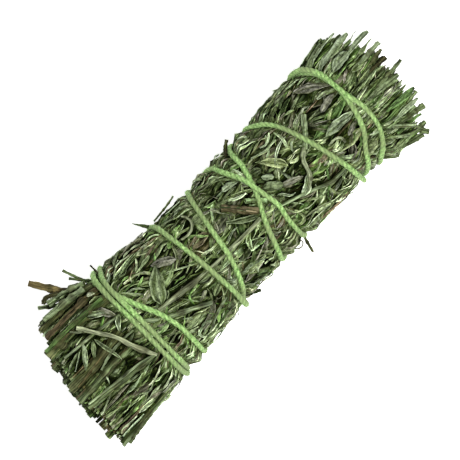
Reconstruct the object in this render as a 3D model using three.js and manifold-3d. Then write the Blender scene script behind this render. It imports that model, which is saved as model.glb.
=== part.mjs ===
// Sage smudge stick: a small bundle of dried leafy stems, bound with one cotton string.
// Millimetres, +Z up. The bundle lies along X on the plane z = 0, with the origin under its middle.
// +X is the leafy end, -X the end with the woody cut stems.
//
// Places on the bundle are given as x, an angle round the bundle (0 at +Y, 90 degrees on top)
// and a height above its outer surface, which is negative inside the bundle.

import * as THREE from 'three';
import { mergeVertices } from 'three/addons/utils/BufferGeometryUtils.js';
import Module from 'manifold-3d';

const wasm = await Module();
wasm.setup();

// Driving dimensions
const SQUASH = 0.94;                 // height of the bundle over its width
const FLATTENED = 0.5;               // how much of the underside is pressed flat
const SEED = 4211;                   // of every random draw
const SMALLEST_EDGE = 0.01;          // shorter edges, left where leaves are joined, are closed up
const GAP = 0.42;                    // air between neighbouring pieces
const DEG = Math.PI / 180;

// Half the width of the bundle along its length: a tied waist between two splayed ends
const PROFILE = [[-51, 15.3], [-36, 15.3], [-20, 13.9], [0, 13.0],
  [20, 12.75], [33, 13.8], [42, 14.9], [51, 15.2]];

// Cut ends: the stem end slants, the leafy end is rounded
const STEM_END_MIDDLE = -47.2;
const STEM_END_SLANT = 0.2;
const LEAFY_END_MIDDLE = 47.6;
const LEAFY_END_ROUNDING = 0.026;

// Outer sprigs
const SPRIGS = 12;
const SWAY_ANGLE = 4.5 * DEG;        // how far a sprig wanders round the bundle
const SWAY_LENGTH = 85;
const SPRIG_START = [1.2, 2.4];      // from the slanted stem end
const SPRIG_FINISH = [2.6, 4.1];     // from the rounded leafy end
const CORE_INSIDE = 0.605;           // inner radius of the pressed leaves, as a share of the width
const CORE_DEPTH = 2.3;              // their outer face, below the bundle's surface
const CORE_LOWEST = 2.45;            // and its height above the ground
const CORE_THINNEST = 1.5;
const CORE_STEPS = 9;
const CORE_SHORT = 2.4;              // how far it stops short of the sprig's cut ends
const STEM_RADIUS = 0.95;
const STEM_DEPTH = 2.0;
const STEM_PAST_END = [1.5, 3.0];    // how far it stands out at the cut ends
const STEM_WANDER = 0.35;            // from the middle of the sprig, as a share of its half width
const STEM_WANDER_LENGTH = 60;

// Leaves: each range is drawn from at random
const LEAF_PAIRS = 8;
const LEAF_LENGTH = [9.5, 14.5];
const LEAF_HALF_WIDTH = [1.2, 2.0];
const LEAF_SLANT = [5 * DEG, 27 * DEG];
const LEAF_ROOT_ACROSS = [0.05, 0.35];
const LEAF_TOP = [-0.7, 0.1];        // height of a free leaf's back
const LEAF_TOP_PRESSED = -1.75;      // and of one that the string presses down
const LEAF_THICK = 0.8;
const LEAF_ROOT_DEPTH = 3.4;
const LEAF_CURL = 0.9;               // how far a free tip may rise or dip
const LEAF_CUP = 0.25;               // how far the edges may rise or dip
const LEAF_GROUND = 0.35;            // lowest height of a leaf's back
const LEAF_PAST_END = 3.2;           // how far the last leaves reach past the cut ends
const LEAF_LAST_ROOT = 8.5;          // room that the last root keeps for its leaf
const BACKWARD_SPRIG = 3;            // every third sprig lies the other way round

// Inner sprigs, on a lattice of hexagons
const RINGS = 2;
const ROD_STEPS = 6;
const RING_PITCH = 0.226;            // pitch of the lattice, as a share of the half width
const ROD_SHARE = 0.47;              // rod radius as a share of the pitch
const ROD_END = [-1.5, 2.0];         // where a rod ends, past the bundle's cut end
const END_LEAF_OUT = [1.4, 3.0];     // a leaf at each end of a rod stands out this far
const END_LEAF_ROOT = 2.5;
const END_LEAF_SIZE = 0.6;           // its width and thickness, as a share of the rod's radius

// Binding string
const STRING_DIAMETER = 1.6;
const STRING_SIDES = 5;
const STRING_STEP = 3.8;
const STRING_DEPTH = 0.5;            // its centre line, below the bundle's surface
const STRING_CLEAR = 2.0;            // between the centre lines of two turns
const STRING_GROUND = 0.92;          // lowest height of its centre line
const UNDER_STRING = STRING_GROUND + STRING_DIAMETER / 2 + GAP;
const PRESSED_WIDTH = 2.9;           // leaves nearer than this to the string lie under it
const HUMP_REACH = 4.6;              // how far a turn starts to rise before it crosses another

// Route of the string, as [x, angle] in the order in which it is wound. Each line is one turn,
// over the top from the -Y side to the +Y side and then under the bundle.
const ROUTE = [
  [-24.0, -18], [-23.9, -55], [-23.6, -88], [-22.9, -112], [-21.4, -136], [-16.6, -157],
  [-10.4, -178], [-9.2, -195], [-7.8, -214], [-5.8, -240], [-4.6, -260], [-3.6, -284],
  [-2.6, -310], [-1.9, -332],
  [-1.0, -376], [1.8, -412], [4.5, -444], [4.8, -490], [3.6, -525],
  [2.4, -548], [3.2, -574], [4.1, -589], [5.1, -603], [6.4, -616], [8.1, -630],
  [9.3, -643], [10.2, -656], [10.9, -670], [11.0, -690], [11.6, -715],
  [13.2, -740], [17.0, -775], [23.0, -830], [26.2, -870],
  [28.4, -900], [30.0, -925], [31.7, -946], [34.1, -962], [35.5, -976], [36.3, -988],
  [36.9, -1003], [36.7, -1020], [36.0, -1036], [34.6, -1050],
  [32.6, -1085], [31.6, -1130], [31.4, -1180], [31.7, -1225],
  [32.2, -1262], [33.4, -1283], [35.4, -1299], [36.9, -1312], [37.8, -1328], [37.9, -1343],
  [37.2, -1356], [36.9, -1370], [36.5, -1388], [34.9, -1407], [33.0, -1424],
  [30.9, -1447], [29.6, -1476], [28.9, -1510], [27.9, -1560],
  [27.0, -1620], [26.4, -1668], [24.8, -1708], [22.0, -1752], [17.8, -1792],
  [15.0, -1830], [12.6, -1880], [10.8, -1930],
  [9.4, -1985], [9.2, -2004], [9.5, -2034], [10.2, -2051], [9.9, -2063], [9.4, -2078],
  [8.7, -2095], [7.5, -2112], [6.5, -2128], [5.7, -2150],
  [1.6, -2190], [-4.4, -2228], [-7.8, -2285],
  [-10.0, -2340], [-9.8, -2382], [-10.2, -2430], [-11.1, -2470], [-12.2, -2512],
  [-15.4, -2565], [-18.2, -2615], [-21.2, -2665],
  [-23.5, -2700], [-23.3, -2740], [-23.3, -2760], [-24.0, -2778], [-25.0, -2790],
  [-26.3, -2803], [-28.2, -2828], [-30.0, -2868],
  [-30.2, -2910], [-30.2, -2970], [-29.9, -3012],
  [-28.9, -3048], [-28.5, -3100], [-28.2, -3150], [-27.6, -3196], [-26.5, -3232],
  [-26.2, -3275], [-26.6, -3330], [-27.2, -3366], [-29.0, -3396],
  [-30.3, -3424], [-30.3, -3470], [-30.2, -3512], [-29.6, -3552], [-27.8, -3592],
  [-26.3, -3608], [-25.0, -3626], [-23.6, -3643],
];

// Twigs that stand out of the silhouette: [sprig, x of root, height of root, x, y, z of tip, radius]
const TWIGS = [
  [0, -32.4, -3.2, -39.1, 23.2, 13.2, 0.72],
  [0, -31.9, -3.0, -32.6, 19.7, 15.2, 0.4],
  [0, -34.0, -3.0, -42.0, 17.9, 11.0, 0.5],
  [6, 6.2, -3.0, 5.4, -16.5, 12.4, 0.5],
  [6, 41.0, -3.2, 44.2, -16.4, 14.9, 0.6],
];

// The two leaf tips that the bundle lies on, pressed flat, as [x of tip, x of root, half width].
// The broad one's two corners and the narrow one's tip are three low points round the weight.
const REST_LEAVES = [[-15.9, -9.7, 0.85], [-4.0, 2.2, 2.7]];
const REST_LEAF_INSIDE = 0.82;       // its width where it meets the other leaves, as a share
const REST_SPRIG = 9;

const SAGE_GREENS = [0x7f8c66, 0x8c9676, 0x6f7c54, 0x949a80, 0x76835c, 0x878d72];
const STEM_BROWN = 0x7a6748;
const STRING_GREEN = 0x9fc97b;

// Seeded random numbers from 0 to 1
function randomFrom(seed) {
  let state = seed;
  return () => {
    state = (state * 16807) % 2147483647;
    return state / 2147483647;
  };
}

const between = ([low, high], share) => low + (high - low) * share;

// A smooth curve through the profile's points
function halfWidth(x) {
  const last = PROFILE.length - 1;
  const at = THREE.MathUtils.clamp(x, PROFILE[0][0], PROFILE[last][0]);
  let i = 0;
  while (i < last - 1 && at > PROFILE[i + 1][0]) i += 1;
  const slope = (j) => {
    const before = PROFILE[Math.max(j - 1, 0)];
    const after = PROFILE[Math.min(j + 1, last)];
    return (after[1] - before[1]) / (after[0] - before[0]);
  };
  const span = PROFILE[i + 1][0] - PROFILE[i][0];
  const t = (at - PROFILE[i][0]) / span;
  const rise = t * t * (3 - 2 * t);
  const bow = span * t * (1 - t) * (slope(i) * (1 - t) - slope(i + 1) * t);
  return PROFILE[i][1] * (1 - rise) + PROFILE[i + 1][1] * rise + bow;
}

const axisHeight = (x) => SQUASH * halfWidth(x) - FLATTENED;
const stemEnd = (y) => STEM_END_MIDDLE + STEM_END_SLANT * y;
const leafyEnd = (y) => LEAFY_END_MIDDLE - LEAFY_END_ROUNDING * y * y;

function onBundle(x, angle, height) {
  const y = (halfWidth(x) + height) * Math.cos(angle);
  const z = axisHeight(x) + (SQUASH * halfWidth(x) + height) * Math.sin(angle);
  return new THREE.Vector3(x, y, z);
}

// The angle of the border between sprig i and the next
const swayPhase = [];
{
  const random = randomFrom(SEED);
  for (let i = 0; i < SPRIGS; i += 1) swayPhase.push(random() * 2 * Math.PI);
}

function border(i, x) {
  const turn = (i + 0.5) * 2 * Math.PI / SPRIGS;
  const wrapped = (i + SPRIGS) % SPRIGS;
  return turn + SWAY_ANGLE * Math.sin(x * 2 * Math.PI / SWAY_LENGTH + swayPhase[wrapped]);
}

// A place in sprig i: across runs from -1 to 1 between its two borders
function inSprig(i, x, across, height) {
  const radius = halfWidth(x) + height;
  const low = border(i - 1, x) + GAP / 2 / radius;
  const high = border(i, x) - GAP / 2 / radius;
  const share = THREE.MathUtils.clamp(across, -1, 1) / 2 + 0.5;
  return onBundle(x, low + (high - low) * share, height);
}

function widthOfSprig(i, x) {
  return (border(i, x) - border(i - 1, x)) * halfWidth(x) / 2;
}

// Closed solids. shapeOf moves each corner of a plain three.js shape to its place.
function solidFrom(plain, shapeOf) {
  plain.deleteAttribute('normal');
  plain.deleteAttribute('uv');
  const geometry = mergeVertices(plain, 1e-4);
  const corners = geometry.attributes.position;
  const placed = [];
  for (let i = 0; i < corners.count; i += 1) {
    const p = shapeOf(corners.getX(i), corners.getY(i), corners.getZ(i));
    placed.push(p);
  }
  const triangles = new Uint32Array(geometry.index.array);
  let volume = 0;
  for (let i = 0; i < triangles.length; i += 3) {
    const [a, b, c] = [0, 1, 2].map((k) => placed[triangles[i + k]]);
    volume += a.clone().cross(b).dot(c);
  }
  if (volume < 0) triangles.reverse();
  const mesh = new wasm.Mesh({
    numProp: 3,
    vertProperties: new Float32Array(placed.flatMap((p) => p.toArray())),
    triVerts: triangles,
  });
  return new wasm.Manifold(mesh);
}

function geometryFrom(solid) {
  const mesh = solid.getMesh();
  const geometry = new THREE.BufferGeometry();
  geometry.setAttribute('position', new THREE.BufferAttribute(mesh.vertProperties, 3));
  geometry.setIndex(new THREE.BufferAttribute(mesh.triVerts, 1));
  geometry.computeVertexNormals();
  return geometry;
}

function largestBody(solid) {
  const bodies = solid.simplify(SMALLEST_EDGE).decompose();
  return bodies.reduce((best, body) => (body.volume() > best.volume() ? body : best));
}

// A blade with a ridge along its back, from its root to its tip
function blade(halfWide, thick, place) {
  const plain = new THREE.SphereGeometry(1, 3, 3, Math.PI / 2);
  return solidFrom(plain, (px, py, pz) => {
    const t = (1 - py) / 2;
    const isRing = Math.hypot(px, pz) > 0.1;
    const isRidge = isRing && Math.abs(px) < 0.1;
    const side = isRing && !isRidge ? Math.sign(px) : 0;
    const up = isRing ? (isRidge ? 0.5 : -0.5) : 0;
    return place(t, side * halfWide(t), up * thick);
  });
}

// The string's centre line
function stringHeight(x, angle) {
  const down = -Math.sin(angle);
  if (down < 0.2) return -STRING_DEPTH;
  const ground = (axisHeight(x) - STRING_GROUND) / down - SQUASH * halfWidth(x);
  return Math.min(-STRING_DEPTH, ground);
}

function stringPoints() {
  const route = new THREE.CatmullRomCurve3(
    ROUTE.map(([x, turn]) => new THREE.Vector3(x, turn * DEG * 13, 0)), false, 'centripetal');
  const count = 900;
  const samples = route.getSpacedPoints(count).map((p) => ({ x: p.x, angle: p.y / 13 }));
  samples.forEach((sample) => {
    sample.base = onBundle(sample.x, sample.angle, stringHeight(sample.x, sample.angle));
  });
  const lift = new Array(samples.length).fill(0);
  for (let i = 0; i < samples.length; i += 1) {
    for (let j = 0; j < i - 12; j += 1) {
      const apart = samples[i].base.distanceTo(samples[j].base);
      if (apart < STRING_CLEAR) {
        const over = lift[j] + Math.sqrt(STRING_CLEAR ** 2 - apart ** 2);
        lift[i] = Math.max(lift[i], over);
      }
    }
  }
  const spacing = samples[0].base.distanceTo(samples[1].base);
  const reach = Math.round(HUMP_REACH / spacing);
  return samples.map((sample, i) => {
    let raised = 0;
    for (let j = Math.max(0, i - reach); j <= Math.min(samples.length - 1, i + reach); j += 1) {
      const fade = Math.max(0, 1.25 - 1.25 * Math.abs(i - j) / reach);
      raised = Math.max(raised, lift[j] * Math.min(1, fade) ** 1.5);
    }
    const height = stringHeight(sample.x, sample.angle) + raised;
    return onBundle(sample.x, sample.angle, height);
  });
}

const stringLine = stringPoints();

function nearString(point) {
  let nearest = Infinity;
  for (const p of stringLine) nearest = Math.min(nearest, p.distanceToSquared(point));
  return Math.sqrt(nearest);
}

function bindingString() {
  const path = new THREE.CatmullRomCurve3(stringLine.filter((p, i) => i % 2 === 0));
  const section = new THREE.Shape();
  for (let i = 0; i < STRING_SIDES; i += 1) {
    const turn = i * 2 * Math.PI / STRING_SIDES;
    const x = STRING_DIAMETER / 2 * Math.cos(turn);
    const y = STRING_DIAMETER / 2 * Math.sin(turn);
    if (i === 0) section.moveTo(x, y);
    else section.lineTo(x, y);
  }
  section.closePath();
  const steps = Math.round(path.getLength() / STRING_STEP);
  const tube = new THREE.ExtrudeGeometry(section, { extrudePath: path, steps, curveSegments: 1 });
  return solidFrom(tube, (x, y, z) => new THREE.Vector3(x, y, z));
}

// Leaves of one sprig, in pairs along its stem. Those under the string are pressed down.
function leafOf(i, x, side, forward, room, random) {
  const length = Math.min(between(LEAF_LENGTH, random()), room);
  const half = between(LEAF_HALF_WIDTH, random());
  const slant = side * between(LEAF_SLANT, random());
  const root = side * between(LEAF_ROOT_ACROSS, random());
  const freeTop = between(LEAF_TOP, random());
  const curl = random() - 0.5;
  const acrossOf = (reach) => root + reach * Math.sin(slant) / widthOfSprig(i, x);
  const stationX = (reach) => x + forward * reach * Math.cos(slant);
  const stations = [0.25, 0.5, 0.75, 1].map((t) => length * t);
  const nearest = Math.min(...stations.map((reach) => (
    nearString(inSprig(i, stationX(reach), acrossOf(reach), -STRING_DEPTH)))));
  const pressed = nearest < PRESSED_WIDTH;
  const top = pressed ? LEAF_TOP_PRESSED : freeTop;
  const lowest = pressed ? UNDER_STRING : LEAF_GROUND;
  const heightAt = (t) => {
    if (t < 0.1) return -LEAF_ROOT_DEPTH;
    return top - LEAF_THICK / 2 + (t > 0.9 && !pressed ? LEAF_CURL * curl : 0);
  };
  const widthAt = (t) => half * (t < 0.5 ? 1 : 0.85);
  const place = (t, sideways, up) => {
    const reach = length * t;
    const at = stationX(reach) - forward * sideways * Math.sin(slant);
    const across = acrossOf(reach) + sideways * Math.cos(slant) / widthOfSprig(i, at);
    const cup = sideways === 0 ? 0 : LEAF_CUP * curl;
    const point = inSprig(i, at, across, heightAt(t) + up + cup);
    point.z = Math.max(point.z, lowest + LEAF_THICK / 2 - up);
    return point;
  };
  return blade(widthAt, LEAF_THICK, place);
}

// Pressed leaves round the stem, which the blades stand out of
function coreOf(i, from, to) {
  const plain = new THREE.BoxGeometry(1, 1, 1, CORE_STEPS, 2, 1);
  return solidFrom(plain, (px, py, pz) => {
    const x = THREE.MathUtils.lerp(from, to, px + 0.5);
    const inner = (CORE_INSIDE - 1) * halfWidth(x);
    const height = pz > 0 ? -CORE_DEPTH : inner;
    const point = inSprig(i, x, py * 2, height);
    point.z = Math.max(point.z, pz > 0 ? CORE_LOWEST : CORE_LOWEST + CORE_THINNEST);
    return point;
  });
}

function stemOf(i, from, to, random) {
  const plain = new THREE.CylinderGeometry(1, 1, 1, 6, 7);
  const phase = random() * 2 * Math.PI;
  return solidFrom(plain, (px, py, pz) => {
    const x = THREE.MathUtils.lerp(from, to, py + 0.5);
    const width = widthOfSprig(i, x);
    const wander = STEM_WANDER * Math.sin(x * 2 * Math.PI / STEM_WANDER_LENGTH + phase);
    const across = wander + px * STEM_RADIUS / width;
    const point = inSprig(i, x, across, -STEM_DEPTH - STEM_RADIUS + pz * STEM_RADIUS);
    point.z = Math.max(point.z, UNDER_STRING);
    return point;
  });
}

function twig([i, rootX, rootHeight, x, y, z, radius]) {
  const tip = new THREE.Vector3(x, y, z);
  const root = inSprig(i, rootX, 0, rootHeight);
  const line = new THREE.LineCurve3(root, tip);
  const section = new THREE.Shape();
  section.absarc(0, 0, radius, 0, 2 * Math.PI);
  const rod = new THREE.ExtrudeGeometry(section, { extrudePath: line, steps: 1, curveSegments: 3 });
  return solidFrom(rod, (px, py, pz) => new THREE.Vector3(px, py, pz));
}

// A flat leaf tip under the bundle, three-cornered
function restLeaf([tip, root, half]) {
  const plain = new THREE.CylinderGeometry(1, 1, 1, 3);
  return solidFrom(plain, (px, py, pz) => {
    const share = py < 0 ? 1 : REST_LEAF_INSIDE;
    const x = THREE.MathUtils.lerp(root, tip, (pz + 0.5) / 1.5);
    const y = -px / Math.sin(60 * DEG) * half * share;
    const z = py < 0 ? 0 : CORE_LOWEST + 0.6;
    return new THREE.Vector3(x, y, z);
  });
}

function sprig(i) {
  const random = randomFrom(SEED + 97 * (i + 1));
  const y = halfWidth(0) * Math.cos(i * 2 * Math.PI / SPRIGS);
  const from = stemEnd(y) + between(SPRIG_START, random());
  const to = leafyEnd(y) - between(SPRIG_FINISH, random());
  const solids = [coreOf(i, from + CORE_SHORT, to - CORE_SHORT)];
  const stemFrom = from - between(STEM_PAST_END, random());
  const stemTo = to + between(STEM_PAST_END, random());
  solids.push(stemOf(i, stemFrom, stemTo, random));
  const forward = i % BACKWARD_SPRIG === 1 ? -1 : 1;
  const first = forward > 0 ? from : from + LEAF_LAST_ROOT;
  for (let leaf = 0; leaf < 2 * LEAF_PAIRS; leaf += 1) {
    const share = (leaf + random()) / (2 * LEAF_PAIRS);
    const x = first + share * (to - from - LEAF_LAST_ROOT);
    const room = (forward > 0 ? to - x : x - from) + LEAF_PAST_END;
    solids.push(leafOf(i, x, leaf % 2 ? 1 : -1, forward, room, random));
  }
  if (i === REST_SPRIG) solids.push(...REST_LEAVES.map(restLeaf));
  TWIGS.filter((one) => one[0] === i).forEach((one) => solids.push(twig(one)));
  return largestBody(wasm.Manifold.union(solids));
}

// Inner sprigs: slim rods of pressed leaves, with blades standing out at their ends
function latticePoints() {
  const points = [];
  for (let column = -RINGS; column <= RINGS; column += 1) {
    for (let row = -RINGS; row <= RINGS; row += 1) {
      if (Math.abs(column + row) > RINGS) continue;
      points.push([column + row / 2, row * Math.sqrt(3) / 2]);
    }
  }
  return points;
}

function inLattice(cell, x, angle, share) {
  const pitch = RING_PITCH * halfWidth(x);
  const radius = Math.max(pitch * 0.5 - GAP / 2, 0.1) * share;
  const y = cell[0] * pitch + radius * Math.cos(angle);
  const z = axisHeight(x) + cell[1] * pitch * SQUASH + radius * SQUASH * Math.sin(angle);
  return new THREE.Vector3(x, y, z);
}

// A leaf that stands out at one end of a rod, towards the given angle
function endLeaf(cell, end, outward, random) {
  const reach = END_LEAF_ROOT + between(END_LEAF_OUT, random());
  const angle = random() * 2 * Math.PI;
  return blade(() => END_LEAF_SIZE, END_LEAF_SIZE, (t, sideways, up) => {
    const x = end + outward * (reach * t - END_LEAF_ROOT);
    const spread = 0.2 + 0.3 * t;
    const y = spread * Math.cos(angle) + sideways * Math.sin(angle);
    const z = spread * Math.sin(angle) - sideways * Math.cos(angle) + up;
    return inLattice(cell, x, Math.atan2(z, y), Math.min(ROD_SHARE * 2, Math.hypot(y, z)));
  });
}

function innerSprig(cell, index) {
  const random = randomFrom(SEED + 1009 + 31 * index);
  const y = cell[0] * RING_PITCH * halfWidth(0);
  const from = stemEnd(y) + between(ROD_END, random());
  const to = leafyEnd(y) - between(ROD_END, random()) - 1;
  const plain = new THREE.CylinderGeometry(1, 1, 1, 6, ROD_STEPS);
  const rod = solidFrom(plain, (px, py, pz) => {
    const x = THREE.MathUtils.lerp(from, to, py + 0.5);
    return inLattice(cell, x, Math.atan2(pz, px), ROD_SHARE * 2 * Math.hypot(px, pz));
  });
  const leaves = [endLeaf(cell, from, -1, random), endLeaf(cell, to, 1, random)];
  return largestBody(wasm.Manifold.union([rod, ...leaves]));
}

// The assembly
const group = new THREE.Group();

function addPiece(name, solid, colour, roughness) {
  const material = new THREE.MeshStandardMaterial({ color: colour, roughness, metalness: 0 });
  const mesh = new THREE.Mesh(geometryFrom(solid), material);
  mesh.name = name;
  group.add(mesh);
}

const twoDigits = (number) => String(number).padStart(2, '0');

for (let i = 0; i < SPRIGS; i += 1) {
  addPiece(`sprig_${twoDigits(i + 1)}`, sprig(i), SAGE_GREENS[i % SAGE_GREENS.length], 0.95);
}
latticePoints().forEach((cell, index) => {
  addPiece(`inner_sprig_${twoDigits(index + 1)}`, innerSprig(cell, index), STEM_BROWN, 0.9);
});
addPiece('binding_string', bindingString(), STRING_GREEN, 0.85);

export default group;
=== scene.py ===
# Sage smudge stick: the looks of a small bundle of dried leafy stems, bound with cotton string.
# Sizes are in millimetres until a mesh is made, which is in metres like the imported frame.
#
# Places on the bundle are given as x, an angle round it (0 at +Y, a quarter turn on top)
# and a height above its outer surface, which is negative inside the bundle.

import math
from types import SimpleNamespace

import bmesh
import bpy
import numpy as np
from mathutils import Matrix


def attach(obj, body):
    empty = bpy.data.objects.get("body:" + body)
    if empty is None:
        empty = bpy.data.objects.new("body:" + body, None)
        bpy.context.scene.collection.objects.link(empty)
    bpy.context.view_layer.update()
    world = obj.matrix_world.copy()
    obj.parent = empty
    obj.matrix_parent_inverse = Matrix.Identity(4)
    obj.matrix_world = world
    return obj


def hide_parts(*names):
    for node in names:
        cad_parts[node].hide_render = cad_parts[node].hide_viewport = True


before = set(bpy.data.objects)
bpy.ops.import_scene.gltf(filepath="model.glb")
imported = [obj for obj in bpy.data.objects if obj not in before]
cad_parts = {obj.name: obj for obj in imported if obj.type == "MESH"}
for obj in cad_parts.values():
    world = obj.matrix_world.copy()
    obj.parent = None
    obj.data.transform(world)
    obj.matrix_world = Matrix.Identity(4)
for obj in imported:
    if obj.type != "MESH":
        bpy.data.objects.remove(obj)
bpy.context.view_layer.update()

MM = 0.001
SEED = 4211
TURN = 2 * math.pi

# Form of the bundle, as in the frame
SQUASH = 0.94
FLATTENED = 0.5
GAP = 0.42
PROFILE = [(-51, 15.3), (-36, 15.3), (-20, 13.9), (0, 13.0),
           (20, 12.75), (33, 13.8), (42, 14.9), (51, 15.2)]
STEM_END_MIDDLE = -47.2
STEM_END_SLANT = 0.2
LEAFY_END_MIDDLE = 47.6
LEAFY_END_ROUNDING = 0.026
SPRIGS = 12
CELL = TURN / SPRIGS
SWAY_ANGLE = math.radians(4.5)
SWAY_LENGTH = 85

# Main leaves and stem of each outer sprig, as in the frame
SPRIG_START = (1.2, 2.4)
SPRIG_FINISH = (2.6, 4.1)
CORE_INSIDE = 0.605
STEM_RADIUS = 0.95
STEM_DEPTH = 2.0
STEM_PAST_END = (1.5, 3.0)
STEM_WANDER = 0.35
STEM_WANDER_LENGTH = 60
LEAF_PAIRS = 8
LEAF_LENGTH = (9.5, 14.5)
LEAF_HALF_WIDTH = (1.2, 2.0)
LEAF_SLANT = (math.radians(5), math.radians(27))
LEAF_ROOT_ACROSS = (0.05, 0.35)
LEAF_TOP = (-0.7, 0.1)
LEAF_LAST_ROOT = 8.5
LEAF_PAST_END = 3.2
BACKWARD_SPRIG = 3

# Below these heights leaves are pressed flatter, and the core and the stems don't go lower
GROUND_SOFT = 0.7
CORE_GROUND = 1.3
STEM_GROUND = 1.4

# A sprig's core of pressed leaves, its cut stalks at each end, and its strongly curled strips
CORE_FROM_END = 1.6
CORE_TOP = -2.7
END_STALKS = 21
INNER_STALKS = 13
END_PLACE = 45
CURLED = 6

# Points along a rod's middle line, and along a stem that strands of bark are laid on
ROD_STEPS = 33
STRAND_STEPS = 60

# How far the leaves stand out further along the two long edges that are seen from above: (x, mm)
FAR_EDGE = [(-51, 0), (-31, 0.2), (-28, 1.0), (-25.5, 1.0), (-24, 0.2), (-20, -0.2), (-17, -0.7),
            (-15, -0.9), (-12.5, 0), (-10.5, -1.0), (-8, -0.9), (-4, -0.7), (-2, 0), (2, -0.3),
            (4, 0.7), (6, 0.4), (9, 0), (13, 0.9), (17, 1.0), (20, 0.4), (27, 0.5), (31, 0),
            (35, -0.8), (41, -0.8), (43, -1.5), (51, -1.5)]
NEAR_EDGE = [(-51, 0.1), (-30, 0.4), (-27.5, 1.2), (-25, 1.9), (-23, 1.6), (-21, 0.4), (-15, 0.6),
             (-13, 0.9), (-10, 0.5), (-8, 0), (-3, 0), (0, 0.3), (2.5, 1.0), (4, 1.4), (6, 0.4),
             (8, 0.4), (10.5, 1.4), (12.5, 0.9), (15, 0.4), (24, 0.6), (30, 0.4), (34, 0.9),
             (35.5, 1.5), (37, 0.5), (40, 0), (51, 0)]

# Inner sprigs, on a lattice of hexagons
RINGS = 2
RING_PITCH = 0.226
ROD_END = (-1.5, 2.0)

# Camera: straight down, turned as in the photograph. FIELD is what it sees across, in mm.
CAMERA_TURN = math.radians(-45.934)
CAMERA_AIM = (-0.92, -0.21, 12.5)
FIELD = 99.6
LENS = 400
SENSOR = 36

# Lights: (name, place in metres, width in metres, watts), and half the floor's width in metres
LIGHTS = [("softbox", (0.05, -0.1, 0.48), 0.08, 2.45), ("fill", (-0.3, 0.3, 0.45), 0.4, 0.25)]
FLOOR_HALF = 0.6
PAPER_GLOW = 0.85
SKY_LIGHT = 0.17

# Binding string
STRING_DIAMETER = 1.08
STRING_DEPTH = (0.5, 1)
STRING_CLEAR = 1.3
STRING_GROUND = 0.92
HUMP_REACH = 4.6
ROUTE_SAMPLES = 900
ROUTE_NEIGHBOURS = 12
# The bundle's usual radius, to measure steps round it like steps along it
AROUND = 13
# The string's way: (x, degrees round the bundle). On top it follows the photograph.
ROUTE = [
    (-24, -18), (-23.9, -55), (-23.6, -88), (-22.9, -112), (-21.4, -136), (-16.6, -157),
    (-10.4, -178), (-9.2, -195), (-7.8, -214), (-5.8, -240), (-4.6, -260), (-3.6, -284),
    (-2.6, -310), (-1.9, -332),
    (-1, -376), (1.8, -412), (4.5, -444), (4.8, -490), (3.6, -525),
    (2.4, -548), (3.2, -574), (4.1, -589), (5.1, -603), (6.4, -616), (8.1, -630),
    (9.3, -643), (10.2, -656), (10.9, -670), (11, -690), (11.6, -715),
    (13.2, -740), (17, -775), (23, -830), (26.2, -870),
    (28.4, -900), (30, -925), (31.7, -946), (34.1, -962), (35.5, -976), (36.3, -988),
    (36.9, -1003), (36.7, -1020), (36, -1036), (34.6, -1050),
    (32.6, -1085), (31.6, -1130), (31.4, -1180), (31.7, -1225),
    (32.2, -1262), (33.4, -1283), (35.4, -1299), (36.9, -1312), (37.8, -1328), (37.9, -1343),
    (37.2, -1356), (36.9, -1370), (36.5, -1388), (34.9, -1407), (33, -1424),
    (30.9, -1447), (29.6, -1476), (28.9, -1510), (27.9, -1560),
    (27, -1620), (26.4, -1668), (24.8, -1708), (22, -1752), (17.8, -1792),
    (15, -1830), (12.6, -1880), (10.8, -1930),
    (9.4, -1985), (9.2, -2004), (9.5, -2034), (10.2, -2051), (9.9, -2063), (9.4, -2078),
    (8.7, -2095), (7.5, -2112), (6.5, -2128), (5.7, -2150),
    (1.6, -2190), (-4.4, -2228), (-7.8, -2285),
    (-10, -2340), (-9.8, -2382), (-10.2, -2430), (-11.1, -2470), (-12.2, -2512),
    (-15.4, -2565), (-18.2, -2615), (-21.2, -2665),
    (-23.5, -2700), (-23.3, -2740), (-23.3, -2760), (-24, -2778), (-25, -2790),
    (-26.3, -2803), (-28.2, -2828), (-30, -2868),
    (-30.2, -2910), (-30.2, -2970), (-29.9, -3012),
    (-28.9, -3048), (-28.4, -3100), (-28, -3150), (-27.8, -3196), (-26.6, -3232),
    (-26.2, -3275), (-26.6, -3330), (-27.2, -3366), (-29, -3396),
    (-29.8, -3424), (-29.7, -3470), (-29.3, -3512), (-29.2, -3552), (-28.2, -3592),
    (-28, -3610), (-27.2, -3630), (-25.2, -3650),
]
# Knot round the string's own beginning, and its tail: (x, degrees, height)
KNOT = [
    (-24.6, -3649.8, 0.4), (-23.9, -3649.5, 0.75), (-23.1, -3649, 0.3), (-22.7, -3648.2, -0.5),
    (-23.1, -3647.4, -1.4), (-23.9, -3646.7, -1.75), (-24.7, -3646, -1.4), (-25.2, -3645.3, -0.5),
    (-24.7, -3644.6, 0.35), (-23.9, -3644.2, 0.75), (-23, -3644, 0.5), (-22.1, -3643.6, 0.2),
    (-20.9, -3642, 0.1), (-19.8, -3640.5, 0.15), (-18.9, -3640, 0.3),
]
TUBE_STEP = 0.48
TUBE_SIDES = 18
PLIES = 3
PLY_PITCH = 4.6
PLY_RELIEF = 0.1
FIBRES = 1600
FIBRE_RADIUS = 0.028

# Map of the height that leaves may reach, as the string and the stems on top press them down
MAP_STEP = 0.35
MAP_X = np.arange(-56, 56, MAP_STEP)
MAP_TURNS = 240
HIGHEST_LEAF = 3.0
PRESSED_BOTTOM = 0.62
PRESSED_SLOPE = 0.85
STRING_REACH = 5
SEEN_SLOPE = 1.3
SEEN_REACH = 4
HOLLOW_BOTTOM = -1.9
HOLLOW_SLOPE = 1.6
# Thin stems that begin beyond this x have their root sunk between the leaves
ROOTS_SUNK_FROM = 35
# The least angle from the bundle's sides to a stem that lies on top
OUTERMOST = 0.22

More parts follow.
